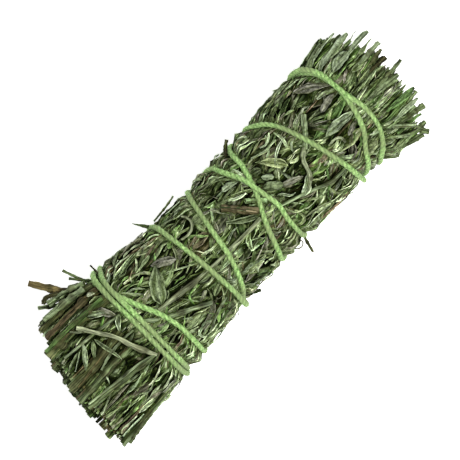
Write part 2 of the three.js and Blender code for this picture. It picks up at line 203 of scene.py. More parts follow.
# Map of the height of the uppermost leaf, and the tone of the painted shade below it
COVER_STEP = 0.2
COVER_X = 570
COVER_TURNS = 432
SHADE_TONE = (1.06, 0.98, 1.4)

# The least painted shade of the stems that can be told apart, and of twigs that stand out: 1 is open
SEEN_SHADE = 0.6
TWIG_SHADE = 0.8

# Leaves lie straighter from this x outwards, on both sides, and over this length more and more
STRAIGHTER_FROM = 24
STRAIGHTER_OVER = 14

# Colours, in sRGB
SAGE = 0x65734D
PALE_SAGE = 0x86966F
OLIVE = 0x4B5A35
DUSTY = 0x6D705A
TAUPE = 0x5F5941
FRESH = 0x5A7540
DEEP = 0x333E23
STRAW = 0x8E9874
BARK = 0x5A5F3D
RED_BARK = 0x5A5138
DARK_BARK = 0x3E3D25
BROWN = 0x6B6349
GOLDEN = 0x5C5636
TWIG_BARK = 0x6F6440
PITH = 0x857A55
BUD = 0xA5AE86
STRING_COLOUR = 0xA6CF86
STUB_GREEN = 0xA0BE84
DYE_DARK = 0x5F8C40
DYE_PALE = 0xC4EA98
DYE_DUSTY = 0x8D9C6A
PAPER = 0xF7F7F5
CUT_COLOURS = [PITH, SAGE, OLIVE]

# All leaf colours are multiplied by this, as linear red, green and blue
LEAF_TONE = (1.25, 1.25, 1.18)

LEAF_MIX = [(SAGE, 5), (PALE_SAGE, 3.2), (OLIVE, 3.2), (DUSTY, 2.6), (TAUPE, 1.3), (FRESH, 1)]
# The innermost leaves in darker colours: painted shade deep in the bundle
SHADED_DEEP_MIX = [(OLIVE, 4), (DEEP, 4), (TAUPE, 2), (SAGE, 2)]
TOP_MIX = [(PALE_SAGE, 5), (SAGE, 4), (DUSTY, 2), (OLIVE, 1.5), (FRESH, 1.3), (STRAW, 0.4)]
FRESH_MIX = [(SAGE, 3), (PALE_SAGE, 6), (FRESH, 3), (STRAW, 1)]
STEM_MIX = [(SAGE, 3), (STRAW, 1.5), (BARK, 2), (OLIVE, 2.5), (DARK_BARK, 1)]

# Layers of small leaves on each outer sprig, from the inside outwards:
# (kind, count, colours, height, length, half width, spread of their directions in radians)
BROAD_HALF = (0.8, 1.6)
NARROW_HALF = (0.38, 0.78)
THIN_HALF = (0.12, 0.28)
UNDER_LAYERS = [
    ("filler", 34, SHADED_DEEP_MIX, (-2.7, -1.7), (8, 15), BROAD_HALF, 0.25),
    ("pressed", 26, LEAF_MIX, (-1.9, -1.0), (7, 13), BROAD_HALF, 0.25),
    ("rolled", 41, LEAF_MIX, (-1.6, -0.8), (7, 14), NARROW_HALF, 0.25),
]
TOP_LAYERS = [
    ("strip", 30, LEAF_MIX, (-1.2, -0.6), (5, 12), THIN_HALF, 0.25),
    ("shred", 60, LEAF_MIX, (-1.3, -0.4), (4, 10), THIN_HALF, 0.35),
    ("rolled", 46, LEAF_MIX, (-1.0, -0.3), (5, 12), NARROW_HALF, 0.25),
    ("pressed", 30, LEAF_MIX, (-0.9, -0.3), (4, 8), (0.6, 1.2), 0.4),
    ("strip", 38, TOP_MIX, (-0.7, -0.1), (4, 9), (0.2, 0.42), 0.45),
    ("blunt", 20, TOP_MIX, (-0.55, -0.05), (2.5, 6), (0.35, 0.8), 0.6),
    ("shred", 40, TOP_MIX, (-0.6, 0.0), (3, 7), (0.16, 0.36), 0.5),
    ("rolled", 10, TOP_MIX, (-0.5, -0.1), (4, 8), (0.3, 0.55), 0.5),
]
RAISED_LAYER = [("rolled", 4, LEAF_MIX, (-0.7, -0.3), (5, 8), NARROW_HALF, 0.25)]
LEAFY_END_LAYER = [("blunt", 11, FRESH_MIX, (-1.2, -0.1), (7, 12), (0.55, 1.0), 0.12)]
# At both ends, each in the colours of its end
END_LAYERS = [
    ("filler", 16, None, (-6.0, -2.2), (9, 14), (0.5, 1.3), 0.1),
    ("rolled", 14, None, (-2.5, -0.4), (9, 14), (0.5, 0.9), 0.12),
    ("shred", 24, None, (-3.5, -0.1), (7, 12), THIN_HALF, 0.15),
]

# Stems and twigs that can be told apart: (colour, radius, lift above the leaves, (x, y), ...)
SEEN_STEMS = [
    (OLIVE, 0.3, 0.2, (-32.6, 17.5), (-30.6, 14.9), (-28.5, 12.5)),
    (DARK_BARK, 0.2, 0.2, (-27.4, 16.2), (-27.4, 14.3), (-27, 12.9)),
    (DARK_BARK, 0.5, 0.2, (-40.4, 17.5), (-39.2, 18.1), (-36.6, 16.9)),
    (PALE_SAGE, 0.8, 0.6, (-39.7, 16.9), (-35, 15.7), (-31, 14.3)),
    (PALE_SAGE, 0.72, 0.5, (-42.6, 15), (-36.7, 14.3), (-32, 13.6)),
    (BARK, 1.3, -0.8, (-47.5, 8.9), (-41, 9), (-34.5, 8.9), (-29, 8.4)),
    (RED_BARK, 0.85, -0.6, (-45.1, 11.6), (-38, 11.7), (-32.4, 11.5), (-28, 10.8)),
    (BARK, 0.8, -0.6, (-44.9, 13.6), (-39, 13.6), (-34.5, 13.4), (-29, 12.4)),
    (BARK, 1.1, -0.8, (-49.2, 0.6), (-44, 0.5), (-38.9, 0.6), (-33, 1.6)),
    (GOLDEN, 0.28, 0.25, (-47.6, -0.3), (-43.5, 0.1), (-39.3, 0.7)),
    (SAGE, 0.9, -0.6, (-49.7, -2.6), (-44, -2.4), (-38.9, -2.2), (-33, -2.4)),
    (SAGE, 0.48, -0.1, (-49.3, -5), (-43, -5.7), (-37, -6.6), (-31.4, -7.2)),
    (PALE_SAGE, 0.3, 0.1, (-48.6, -4.4), (-42, -5.3), (-36, -6), (-31.4, -7)),
    (FRESH, 0.42, 0.75, (-47.1, 9.9), (-41, 9.9), (-35, 9.6), (-30.6, 9.3)),
    (BUD, 0.45, 0.9, (-38.7, 8.7), (-36.5, 5), (-34.3, 1.5), (-33, -2.8), (-31.1, -7.4)),
    (STRAW, 0.2, 0.8, (-40.4, 9.2), (-39.6, 8.2), (-38.4, 7.2), (-36.9, 5.6)),
    (PALE_SAGE, 0.32, 0.1, (-45.2, 6.1), (-41, 5.6), (-37, 5.2), (-30.6, 4.2)),
    (PALE_SAGE, 0.3, 0.5, (-41.5, -1.3), (-38.4, -0.4), (-34, 0), (-30.9, -0.2)),
    (STRAW, 0.45, 0.15, (-23.7, -1.1), (-18.3, -1.9), (-11.1, -2.8), (-3, -3.1), (5.3, -3.2)),
    (PALE_SAGE, 0.45, 0.15, (-27.6, -0.6), (-24.8, -2.8), (-18.3, -6.3), (-14.8, -8.2)),
    (STRAW, 0.3, 0.2, (-9.6, 5.8), (-7.9, 5.5), (-6.4, 5.9), (-5.5, 6.9), (-5.5, 8.2), (-6.1, 9.3)),
    (BROWN, 0.9, -0.65, (1.2, 4.2), (3.6, 1.4), (6.2, -1.8)),
    (STUB_GREEN, 0.5, 0.5, (5.8, 1.8), (6.8, 0.9), (7.9, -0.1), (9.2, -1.6)),
    (PALE_SAGE, 0.38, 0.4, (10.7, -4.5), (17.4, -6.9), (21.8, -8.7), (25.7, -8.9)),
    (PALE_SAGE, 0.62, 0.6, (27.8, 5.6), (26, 3.5), (24.4, 1.7), (22.6, 0.2)),
    (STRAW, 0.5, 0.4, (22.8, 0.6), (20.9, -0.9), (19.4, -4.5), (17.2, -6)),
    (PALE_SAGE, 0.25, 0.3, (-19.4, -12.3), (-15.5, -10.6), (-11.8, -9.7)),
    (STRAW, 0.28, 0.3, (27, -2.9), (28.7, -2.8), (29.8, -3.5), (29.8, -4.9)),
    (GOLDEN, 0.18, 0.1, (29.1, -2.8), (31.7, -2.6), (34.3, -2.6)),
    (PALE_SAGE, 0.48, 0.1, (42.5, 4.4), (46, 4.7), (50.1, 4.8)),
    (SAGE, 0.45, 0.1, (41.4, -1.7), (46, -1.5), (50.6, -1.1)),
    (BARK, 0.42, -0.2, (43.4, 2.9), (46, 3), (49.3, 3.5)),
    (DARK_BARK, 0.45, -0.2, (42.6, 1.9), (45.5, 1.8), (48.8, 1.6)),
    (SAGE, 0.42, 0, (42.8, -8.7), (45.5, -8.5), (48.2, -8.2)),
    (SAGE, 0.65, 0, (40.8, -10.1), (44, -10.9), (47.3, -11.5)),
    (SAGE, 0.5, 0, (39.6, -13.2), (42.2, -13.9), (45.1, -14.3)),
    (SAGE, 0.6, 0.1, (37.8, -14.2), (40.5, -15.1), (43, -15.8)),
    (DEEP, 0.25, 0.2, (34.7, 13), (38, 13.8), (41.9, 14.5)),
    (SAGE, 0.25, 0.2, (35.4, 12.4), (39, 13), (43.4, 13.3)),
    (OLIVE, 0.45, 0.3, (-36, -14.6), (-42, -15), (-50.2, -15.3)),
    (PALE_SAGE, 0.45, 0.3, (-38, -15.1), (-43, -15.5), (-50.4, -16)),
    (SAGE, 0.36, 0.3, (-41, -15.6), (-44.5, -15.9), (-49, -16.6)),
    (PALE_SAGE, 0.5, 0.4, (39.1, -9.5), (41.2, -11.4), (43, -13)),
    (PALE_SAGE, 0.4, 0.4, (36.9, -10.8), (38.8, -12.3), (40.6, -13.6)),
    (OLIVE, 0.22, 0.1, (-11, 12.9), (-7.3, 13.2), (-4.2, 13.7)),
    (DARK_BARK, 0.4, 0.2, (9.9, 11.6), (11.2, 12.9), (12.6, 13.9)),
]

# Leaves that can be told apart: (colour, half width, lift, kind, (x, y) at root, (x, y) at tip)
SEEN_LEAVES = [
    (DUSTY, 1, 0.5, "oval", (-18.2, 6.6), (-13.3, 3.7)),
    (SAGE, 1.7, 0.1, "pressed", (-22.7, -0.6), (-17.7, 5.9)),
    (PALE_SAGE, 0.8, 0.5, "oval", (3.7, 6.6), (8.2, 6.2)),
    (SAGE, 0.95, 0.5, "oval", (10.2, 5.1), (13.1, 4)),
    (OLIVE, 0.7, 0.3, "oval", (10.4, 3), (12.6, 1.8)),
    (PALE_SAGE, 0.7, 0.5, "oval", (11.9, 2.8), (13.8, 0.9)),
    (SAGE, 1, 0.6, "oval", (10.2, 1), (14.3, -1.6)),
    (DUSTY, 0.7, 0.4, "pressed", (13.5, -1.5), (18.2, -3.3)),
    (PALE_SAGE, 0.95, 0.5, "pressed", (15, -6.4), (19.6, -3.9)),
    (PALE_SAGE, 0.65, 0.5, "rolled", (11.2, -2.4), (14.6, -4.6)),
    (SAGE, 0.8, 0.4, "blunt", (-0.4, 1.4), (5.4, -2.7)),
    (PALE_SAGE, 0.8, 0.5, "pressed", (-35.6, 8.8), (-32, 6.2)),
    (DUSTY, 0.95, 0.5, "pressed", (-33.4, 8.2), (-30.9, 4.6)),
    (BUD, 0.6, 0.7, "oval", (-32.5, 11.5), (-30.7, 11)),
    (PALE_SAGE, 0.75, 0.5, "oval", (-10, -7.8), (-6.9, -9.5)),
    (PALE_SAGE, 1.1, 0.3, "pressed", (27.6, -0.9), (36, -1.4)),
    (PALE_SAGE, 1.25, 0.6, "oval", (38.6, 7.4), (44.3, 8)),
    (DUSTY, 1.1, 0.4, "pressed", (29.9, 10.5), (36.4, 6.6)),
    (DUSTY, 0.75, 0.5, "oval", (30.6, 3.2), (35.5, 4.2)),
    (DUSTY, 0.6, 0.4, "oval", (31.2, -4.3), (34.8, -3.4)),
    (PALE_SAGE, 1, 0.3, "blunt", (43.2, 7.7), (50.2, 8.2)),
    (PALE_SAGE, 1.3, 0.4, "blunt", (36.5, 10.2), (46.9, 11.6)),
    (PALE_SAGE, 0.8, 0.5, "blunt", (36.5, 12), (45, 13.2)),
    (SAGE, 0.5, 0.1, "strip", (43.5, 5.9), (49.6, 6.6)),
    (SAGE, 0.95, 0.2, "blunt", (39.5, -2), (48, -2.8)),
    (FRESH, 0.8, 0.2, "blunt", (40.6, -6.6), (48.4, -7.2)),
    (PALE_SAGE, 0.8, 0.3, "blunt", (40.2, -9), (47.4, -9.4)),
    (FRESH, 0.7, 0.3, "blunt", (39, -11.4), (45.6, -12.2)),
    (OLIVE, 0.35, 0.1, "strip", (42.6, 9.2), (48.4, 10.1)),
    (SAGE, 0.5, 0.5, "strip", (-37.8, 4.4), (-36.8, -2.8)),
    (PALE_SAGE, 0.6, 0.4, "pressed", (-40.2, 5.2), (-43.8, 0.9)),
    (PALE_SAGE, 0.5, 0.3, "rolled", (-41.6, 4.8), (-45.6, 2.4)),
    (SAGE, 0.5, 0.3, "pressed", (-38.2, 4.4), (-40.8, 1.4)),
    (PALE_SAGE, 0.6, 0.4, "pressed", (-30.4, 4.6), (-33, 1.6)),
    (SAGE, 0.4, 0.3, "rolled", (-46.6, 3.6), (-42.3, 4.9)),
    (PALE_SAGE, 0.4, 0.3, "rolled", (-41.2, -1.7), (-42.4, -4.6)),
    (SAGE, 0.5, 0.3, "oval", (-23.9, 12.4), (-20.6, 14.4)),
    (PALE_SAGE, 0.7, 0.4, "rolled", (-29.5, 10.9), (-25.5, 11.3)),
]

# Hollows between the leaves, pressed down and darkened by real and painted shade: (x, y, radius)
HOLLOWS = [(-43, 6.8, 0.5), (30.6, 7.6, 0.9), (26.2, 1.5, 0.7), (-2.2, -5.4, 0.6), (-36, -4.6, 0.7),
           (-41.5, -4, 0.6), (-25.5, 0.9, 0.7), (2.2, 8.6, 0.5)]

# Twigs that stand out of the bundle's outline, as in the frame:
# (sprig, colour, radius, root x, root height, tip x, y, z)
TWIGS = [
    (0, TWIG_BARK, 0.72, -32.4, -3.2, -39.6, 23.1, 13.2),
    (0, SAGE, 0.3, -29.6, -3, -32.4, 19.7, 14.8),
    (0, PALE_SAGE, 0.42, -34, -3, -42, 17.9, 11),
    (6, BARK, 0.28, 10.2, -2, 8.2, -16.4, 13.4),
    (6, SAGE, 0.55, 41, -3.2, 44.2, -16.4, 14.9),
]

# Leaf tips that stand out of the outline: (sprig, colour, half width, taper, (x, y, z), ...)
TIPS = [
    (0, OLIVE, 0.6, 0.85, (-11.9, 11.4, 12.3), (-13.3, 13.8, 12.8), (-14.7, 16, 12.9)),
    (6, DEEP, 0.65, 0.4, (-8.6, -12, 12), (-7.1, -13.1, 12.3), (-5.6, -14.1, 12)),
    (6, TAUPE, 0.14, 0, (6, -12.2, 12.2), (6.1, -13.3, 12.6), (7.3, -13.9, 12.6),
                          (8.2, -13.3, 12.4), (8, -12.5, 12.2)),
    (0, OLIVE, 0.3, 0.8, (-22, 12.4, 12.6), (-23.2, 13.4, 12.9), (-24, 14.3, 13)),
    (0, SAGE, 0.3, 0.7, (25, 12, 11.6), (26.6, 12.9, 11.9), (28.2, 13.4, 12)),
    (1, PALE_SAGE, 0.75, 0.5, (35.5, 11.8, 20.4), (38.5, 12.9, 19.8), (41.4, 13.6, 19.2)),
    (1, SAGE, 0.6, 0.5, (36.8, 13, 19), (39.6, 14, 18), (42.4, 14.3, 17.4)),
    (1, PALE_SAGE, 0.5, 0.5, (40, 11.4, 20.8), (43, 12, 20.5), (45.8, 12, 20.2)),
    (0, OLIVE, 0.3, 0.7, (20, -11.6, 11.4), (22, -12.9, 11.8), (24.2, -13.3, 12)),
]


def colour(hex_value):
    """The linear colour of an sRGB hex value."""
    channels = [(hex_value >> shift & 255) / 255 for shift in (16, 8, 0)]
    linear = [c / 12.92 if c <= 0.04045 else ((c + 0.055) / 1.055) ** 2.4 for c in channels]
    return (*linear, 1.0)


# Form of the bundle

PROFILE_X, PROFILE_WIDTH = np.array(PROFILE, float).T
padded_profile = np.pad(np.array(PROFILE, float), ((1, 1), (0, 0)), mode="edge")
runs, rises = (padded_profile[2:] - padded_profile[:-2]).T
PROFILE_SLOPE = rises / runs


def eased(share):
    return share * share * (3 - 2 * share)


def between(ends, share):
    return ends[0] + (ends[1] - ends[0]) * share


def half_width(x):
    """Half the bundle's width at x: a smooth curve through the profile's points."""
    at = np.clip(x, PROFILE_X[0], PROFILE_X[-1])
    i = np.clip(np.searchsorted(PROFILE_X, at) - 1, 0, len(PROFILE_X) - 2)
    span = PROFILE_X[i + 1] - PROFILE_X[i]
    t = (at - PROFILE_X[i]) / span
    bow = span * t * (1 - t) * (PROFILE_SLOPE[i] * (1 - t) - PROFILE_SLOPE[i + 1] * t)
    return PROFILE_WIDTH[i] * (1 - eased(t)) + PROFILE_WIDTH[i + 1] * eased(t) + bow


def axis_height(x):
    return SQUASH * half_width(x) - FLATTENED


def stem_end(y):
    return STEM_END_MIDDLE + STEM_END_SLANT * y


def leafy_end(y):
    return LEAFY_END_MIDDLE - LEAFY_END_ROUNDING * y * y


def on_bundle(x, angle, height):
    """The point at x, angle and height. Takes arrays, and adds a last axis of x, y and z."""
    x = np.asarray(x, float)
    wide = half_width(x)
    y = (wide + height) * np.cos(angle)
    z = axis_height(x) + (SQUASH * wide + height) * np.sin(angle)
    return np.stack(np.broadcast_arrays(x, y, z), axis=-1)


def angle_over(x, y, height=0.0):
    """The angle on the upper side whose point lies over (x, y)."""
    return math.acos(max(-1.0, min(1.0, y / (float(half_width(x)) + height))))


def sprig_under(x, y):
    return round(angle_over(x, y) / CELL)


def edge_bulge(x, angle):
    """How far the leaves at a place stand out further than the plain form."""
    side = np.cos(angle)
    far = np.interp(x, *np.transpose(FAR_EDGE))
    near = np.interp(x, *np.transpose(NEAR_EDGE))
    return np.where(side > 0, far, near) * side ** 6


def on_ground(z):
    """Presses what would lie below the ground flat onto it."""
    return np.where(z < GROUND_SOFT, GROUND_SOFT * np.exp(np.minimum(z / GROUND_SOFT, 1) - 1), z)


def plain_random(seed):
    """The frame's own seeded numbers from 0 to 1."""
    state = seed
    while True:
        state = (state * 16807) % 2147483647
        yield state / 2147483647


sway_numbers = plain_random(SEED)
SWAY_PHASE = [next(sway_numbers) * TURN for _ in range(SPRIGS)]


def border(i, x):
    """The angle of the border between sprig i and the next."""
    return (i + 0.5) * CELL + SWAY_ANGLE * np.sin(x * TURN / SWAY_LENGTH + SWAY_PHASE[i % SPRIGS])


def across_sprig(i, x, share, height):
    """The angle in sprig i where share runs from -1 to 1 between its borders."""
    margin = GAP / 2 / (half_width(x) + height)
    low = border(i - 1, x) + margin
    high = border(i, x) - margin
    return low + (high - low) * (np.clip(share, -1, 1) / 2 + 0.5)


# The string's centre line

def distance_along(line):
    return np.concatenate([[0], np.cumsum(np.linalg.norm(np.diff(line, axis=0), axis=1))])


def smooth_line(points, count, per_piece=24):
    """Evenly spaced points on a smooth curve through the given points."""
    points = np.asarray(points, float)
    padded = np.vstack([2 * points[0] - points[1], points, 2 * points[-1] - points[-2]])
    pieces = []
    for i in range(len(points) - 1):
        p = padded[i:i + 4]
        knots = np.concatenate([[0], np.cumsum(np.linalg.norm(np.diff(p, axis=0), axis=1) ** 0.5)])
        t = np.linspace(knots[1], knots[2], per_piece, endpoint=False)[:, None]
        for first, last in ((0, 1), (0, 2), (1, 2)):
            p = [((knots[j + last] - t) * p[j] + (t - knots[j + first]) * p[j + 1])
                 / (knots[j + last] - knots[j + first]) for j in range(len(p) - 1)]
        pieces.append(p[0])
    line = np.vstack(pieces + [points[-1:]])
    walked = distance_along(line)
    even = np.linspace(0, walked[-1], count)
    return np.stack([np.interp(even, walked, values) for values in line.T], axis=1)


def string_height(x, angle):
    """The string bites deeper at the sides, and on the underside it stays off the ground."""
    down = np.maximum(-np.sin(angle), 0.2)
    ground = (axis_height(x) - STRING_GROUND) / down - SQUASH * half_width(x)
    sideways = np.clip((np.abs(np.cos(angle)) - 0.85) / 0.13, 0, 1)
    depth = between(STRING_DEPTH, eased(sideways))
    return np.where(-np.sin(angle) < 0.2, -depth, np.minimum(-depth, ground))


def string_route():
    """x, angle and height along the string. A later turn is lifted over an earlier one."""
    flat = smooth_line([(x, math.radians(turn) * AROUND) for x, turn in ROUTE], ROUTE_SAMPLES + 1)
    x, angle = flat[:, 0], flat[:, 1] / AROUND
    height = string_height(x, angle) + 0.8 * np.maximum(edge_bulge(x, angle), 0)
    base = on_bundle(x, angle, height)
    lift = np.zeros(len(x))
    for i in range(ROUTE_NEIGHBOURS + 1, len(x)):
        apart = np.linalg.norm(base[:i - ROUTE_NEIGHBOURS] - base[i], axis=1)
        near = apart < STRING_CLEAR
        if near.any():
            over = lift[:i - ROUTE_NEIGHBOURS][near] + np.sqrt(STRING_CLEAR ** 2 - apart[near] ** 2)
            lift[i] = over.max()
    reach = int(round(HUMP_REACH / np.linalg.norm(base[1] - base[0])))
    raised = np.zeros(len(x))
    for offset in range(-reach, reach + 1):
        fade = min(1.0, 1.25 - 1.25 * abs(offset) / reach)
        first, last = max(0, offset), min(len(x), len(x) + offset)
        raised[first:last] = np.maximum(
            raised[first:last], lift[first - offset:last - offset] * fade ** 1.5)
    return x, angle, height + raised


STRING_X, STRING_ANGLE, STRING_HEIGHT = string_route()
KNOT_X, KNOT_TURN, KNOT_HEIGHT = np.array(KNOT).T
KNOT_ANGLE = np.radians(KNOT_TURN)


# The height that leaves may reach at each x and angle, as the string presses them down

def press(limit, x, angle, height, half, slope, reach):
    """Lowers the limit around a place on the bundle, less and less with the distance from it."""
    rows = np.abs(MAP_X - x) < reach
    around = np.arange(MAP_TURNS) * TURN / MAP_TURNS
    turn = (around - angle + math.pi) % TURN - math.pi
    apart = np.hypot((MAP_X[rows] - x)[:, None], turn[None, :] * AROUND)
    limit[rows] = np.minimum(limit[rows], height + slope * np.maximum(apart - half, 0))


def held_down(x, angle, height, limit, room=0.0):
    """Lowers heights to what the limit allows, keeping a little of their layering."""
    i = np.clip(np.round((x - MAP_X[0]) / MAP_STEP).astype(int), 0, len(MAP_X) - 1)
    j = np.round(angle / TURN * MAP_TURNS).astype(int) % MAP_TURNS
    return height - np.maximum(height - (limit[i, j] - room), 0) * 0.92


def press_under_seen(limit):
    """Lowers other leaves under the stems and leaves that can be told apart."""
    lines = [(points, radius * 0.7, lift, 0.8 * radius, 0.2 * radius - 0.2)
             for _, radius, lift, *points in SEEN_STEMS]
    lines += [(points, half * 0.8, lift - 0.2, 0.0, -0.3)
              for _, half, lift, _, *points in SEEN_LEAVES]
    for points, half, lift, room, below in lines:
        for x, y in smooth_line(points, 24):
            if abs(y) < half_width(x):
                angle = angle_over(x, y)
                height = held_down(np.array(x), np.array(angle), lift, STRING_LIMIT, room)
                press(limit, x, angle, float(height) + below, half, SEEN_SLOPE, SEEN_REACH)


STRING_LIMIT = np.full((len(MAP_X), MAP_TURNS), HIGHEST_LEAF)
for place_on_string in zip(STRING_X, STRING_ANGLE, STRING_HEIGHT - PRESSED_BOTTOM):
    press(STRING_LIMIT, *place_on_string, 0.6, PRESSED_SLOPE, STRING_REACH)
for place_on_knot in zip(KNOT_X, KNOT_ANGLE, np.maximum(KNOT_HEIGHT - 1, -1.1)):
    press(STRING_LIMIT, *place_on_knot, 0.8, PRESSED_SLOPE, STRING_REACH)
LIMIT = STRING_LIMIT.copy()
press_under_seen(LIMIT)
for x, y, radius in HOLLOWS:
    press(LIMIT, x, angle_over(x, y), HOLLOW_BOTTOM, radius, HOLLOW_SLOPE, SEEN_REACH)


# Plain shapes, which are copied and then bent into place

def plain_shape(made, slot):
    """Keeps a bmesh as a mesh to copy. Edges that turn sharply stay crisp."""
    for edge in made.edges:
        edge.smooth = not (edge.is_manifold and edge.calc_face_angle() > 1)
    for face in made.faces:
        face.material_index = slot
        face.smooth = True
    shape = bpy.data.meshes.new("plain_shape")
    made.to_mesh(shape)
    made.free()
    return shape


def plain_blade(rows, columns):
    """A closed sheet: x runs along the leaf, y across it and z through it."""
    made = bmesh.new()
    bmesh.ops.create_grid(made, x_segments=rows, y_segments=columns, size=1)
    bmesh.ops.solidify(made, geom=made.faces[:], thickness=1)
    return plain_shape(made, 0)


def plain_rod(rows, sides):
    """A closed rod along z with a rim inside each cut end."""
    made = bmesh.new()
    bmesh.ops.create_cone(made, cap_ends=True, cap_tris=False, segments=sides,
                          radius1=1, radius2=1, depth=1)
    uprights = [e for e in made.edges if abs(e.verts[0].co.z - e.verts[1].co.z) > 0.5]
    bmesh.ops.subdivide_edges(made, edges=uprights, cuts=rows - 1, use_grid_fill=True)
    caps = [f for f in made.faces if abs(f.normal.z) > 0.9]
    bmesh.ops.inset_region(made, faces=caps, thickness=0.4)
    return plain_shape(made, 1)


def corners_of(shape):
    places = np.empty(len(shape.vertices) * 3, np.float32)
    shape.vertices.foreach_get("co", places)
    return places.reshape(-1, 3).astype(float)


BROAD, NARROW, RIBBON, FILLER, SHRED, CORE = (plain_blade(*size) for size in (
    (7, 5), (8, 3), (9, 2), (5, 2), (4, 1), (56, 6)))
ROD, LONG_ROD, TWIG, FIBRE = (plain_rod(*size) for size in ((9, 8), (26, 9), (6, 6), (3, 3)))


# Painted shade and light between the leaves, put into each corner's colour: from how far below the
# uppermost leaf of its place each corner lies

cover = np.full((COVER_X, COVER_TURNS), -4.0)


def cell_and_height(places):
    """The cover map's cell over each place, and the place's height."""
    x, y, z = places[:, 0], places[:, 1], places[:, 2] - axis_height(places[:, 0])
    angle = np.arctan2(z / SQUASH, y)
    height = np.hypot(y, z) - half_width(x) * np.hypot(np.cos(angle), SQUASH * np.sin(angle))
    row = np.clip(np.round(x / COVER_STEP).astype(int) + COVER_X // 2, 0, COVER_X - 1)
    column = np.round(angle / TURN * COVER_TURNS).astype(int) % COVER_TURNS
    return row, column, height


def add_to_cover(places, shape):
    """Raises the map under each copy of a shape: at points along all its edges."""
    ends = np.empty(len(shape.edges) * 2, np.int32)
    shape.edges.foreach_get("vertices", ends)
    first, last = places[:, ends[::2]], places[:, ends[1::2]]
    for share in (0.0, 0.2, 0.4, 0.6, 0.8):
        row, column, height = cell_and_height(between((first, last), share).reshape(-1, 3))
        np.maximum.at(cover, (row, column), height)


def around_cells(heights, combine, reach):
    """Combines each cell with its neighbours, first along the bundle and then round it."""
    for axis in (0, 1):
        heights = combine([np.roll(heights, k, axis) for k in range(-reach, reach + 1)], axis=0)
    return heights


def cover_shade(places):
    """Painted shade and light: from 1 for what lies open to nearly 0 for what is buried, up to 1.6 for
    what stands above its neighbours, and lighter at the cut ends.
    """
    row, column, height = cell_and_height(places)
    below = np.maximum(closed[row, column] - height - 0.14, 0)
    beside = np.maximum(closed_wide[row, column] - height - 0.3, 0)
    sunk = 1.1 * (near_level[row, column] - height) + 0.6 * (level[row, column] - height) - 0.3
    shade = (0.02 + 0.98 * np.exp(-below / 0.28 - beside / 1.1)) * np.clip(np.exp(-sunk), 0.03, 1.6)
    shade = np.maximum(shade, np.clip((height - 0.5) / 0.5, 0, 1))
    x, y = places[:, 0], places[:, 1]
    inside = np.minimum(x - stem_end(y), leafy_end(y) - x)
    leafy = x > 0
    reach = np.where(height < -1.5, 4 + 2 * leafy, 1 + leafy)
    return np.maximum(shade, np.clip(0.75 + 0.25 * leafy - inside / reach, 0.04, 1.0))


class Pile:
    """Copies of plain shapes in one mesh, with each corner's place, colour and leaf coordinates."""

    def __init__(self):
        self.made = bmesh.new()
        self.places, self.tints, self.marks, self.least = [], [], [], []

    def add(self, shape, places, tints, marks, least=0.0):
        """places, tints and marks have one row of corners for each copy.

        least is the least painted shade, for what stands clear of the other leaves."""
        for _ in range(len(places)):
            self.made.from_mesh(shape)
        add_to_cover(places, shape)
        self.places.append(places.reshape(-1, 3))
        self.tints.append(tints.reshape(-1, 4))
        self.marks.append(marks.reshape(-1, 3))
        self.least.append(np.full(len(self.places[-1]), least))

    def plain_mesh(self, name):
        mesh = bpy.data.meshes.new(name)
        self.made.to_mesh(mesh)
        self.made.free()
        mesh.vertices.foreach_set("co", (np.vstack(self.places) * MM).astype(np.float32).ravel())
        return mesh

    def leafy_mesh(self, name):
        mesh = self.plain_mesh(name)
        least = np.concatenate(self.least)
        # Painted shade and light: each corner's colour is darkened where it lies under other leaves and
        # lightened where it stands above them
        shade = np.maximum(cover_shade(np.vstack(self.places)), least)
        shade = np.where(least > 0, np.minimum(shade, 1.1), shade)
        tints = np.vstack(self.tints)
        tints[:, :3] *= shade[:, None] ** np.array(SHADE_TONE)
        tint = mesh.attributes.new("leaf_colour", "FLOAT_COLOR", "POINT")
        tint.data.foreach_set("color", tints.astype(np.float32).ravel())
        mark = mesh.attributes.new("place_on_leaf", "FLOAT_VECTOR", "POINT")
        mark.data.foreach_set("vector", np.vstack(self.marks).astype(np.float32).ravel())
        mesh.update()
        return mesh


def add_piece(name, mesh, materials, slot, *nodes):
    """Adds a finer piece in the place of its nodes."""
    for material in materials:
        mesh.materials.append(material)
    piece = bpy.data.objects.new(name, mesh)
    bpy.context.scene.collection.objects.link(piece)
    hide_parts(*nodes)
    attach(piece, "root")


# Leaves. An outline gives a leaf's half width along its length, as a share of its widest.

def lance(along):
    return np.clip(np.sin(np.pi * along ** 0.8), 0, 1) ** 0.65 * 0.96 + 0.04


def blunt(along):
    return (1 - 0.55 * along ** 6) * (0.35 + 0.65 * np.minimum(along / 0.55, 1))


def oval(along):
    return np.clip(1 - np.abs(2 * along - 1) ** 2.6, 0, 1) ** 0.6 * 0.96 + 0.04


def ribbon(along):
    return np.clip(1 - np.abs(2 * along - 1) ** 6, 0, 1) ** 0.5 * 0.85 + 0.15


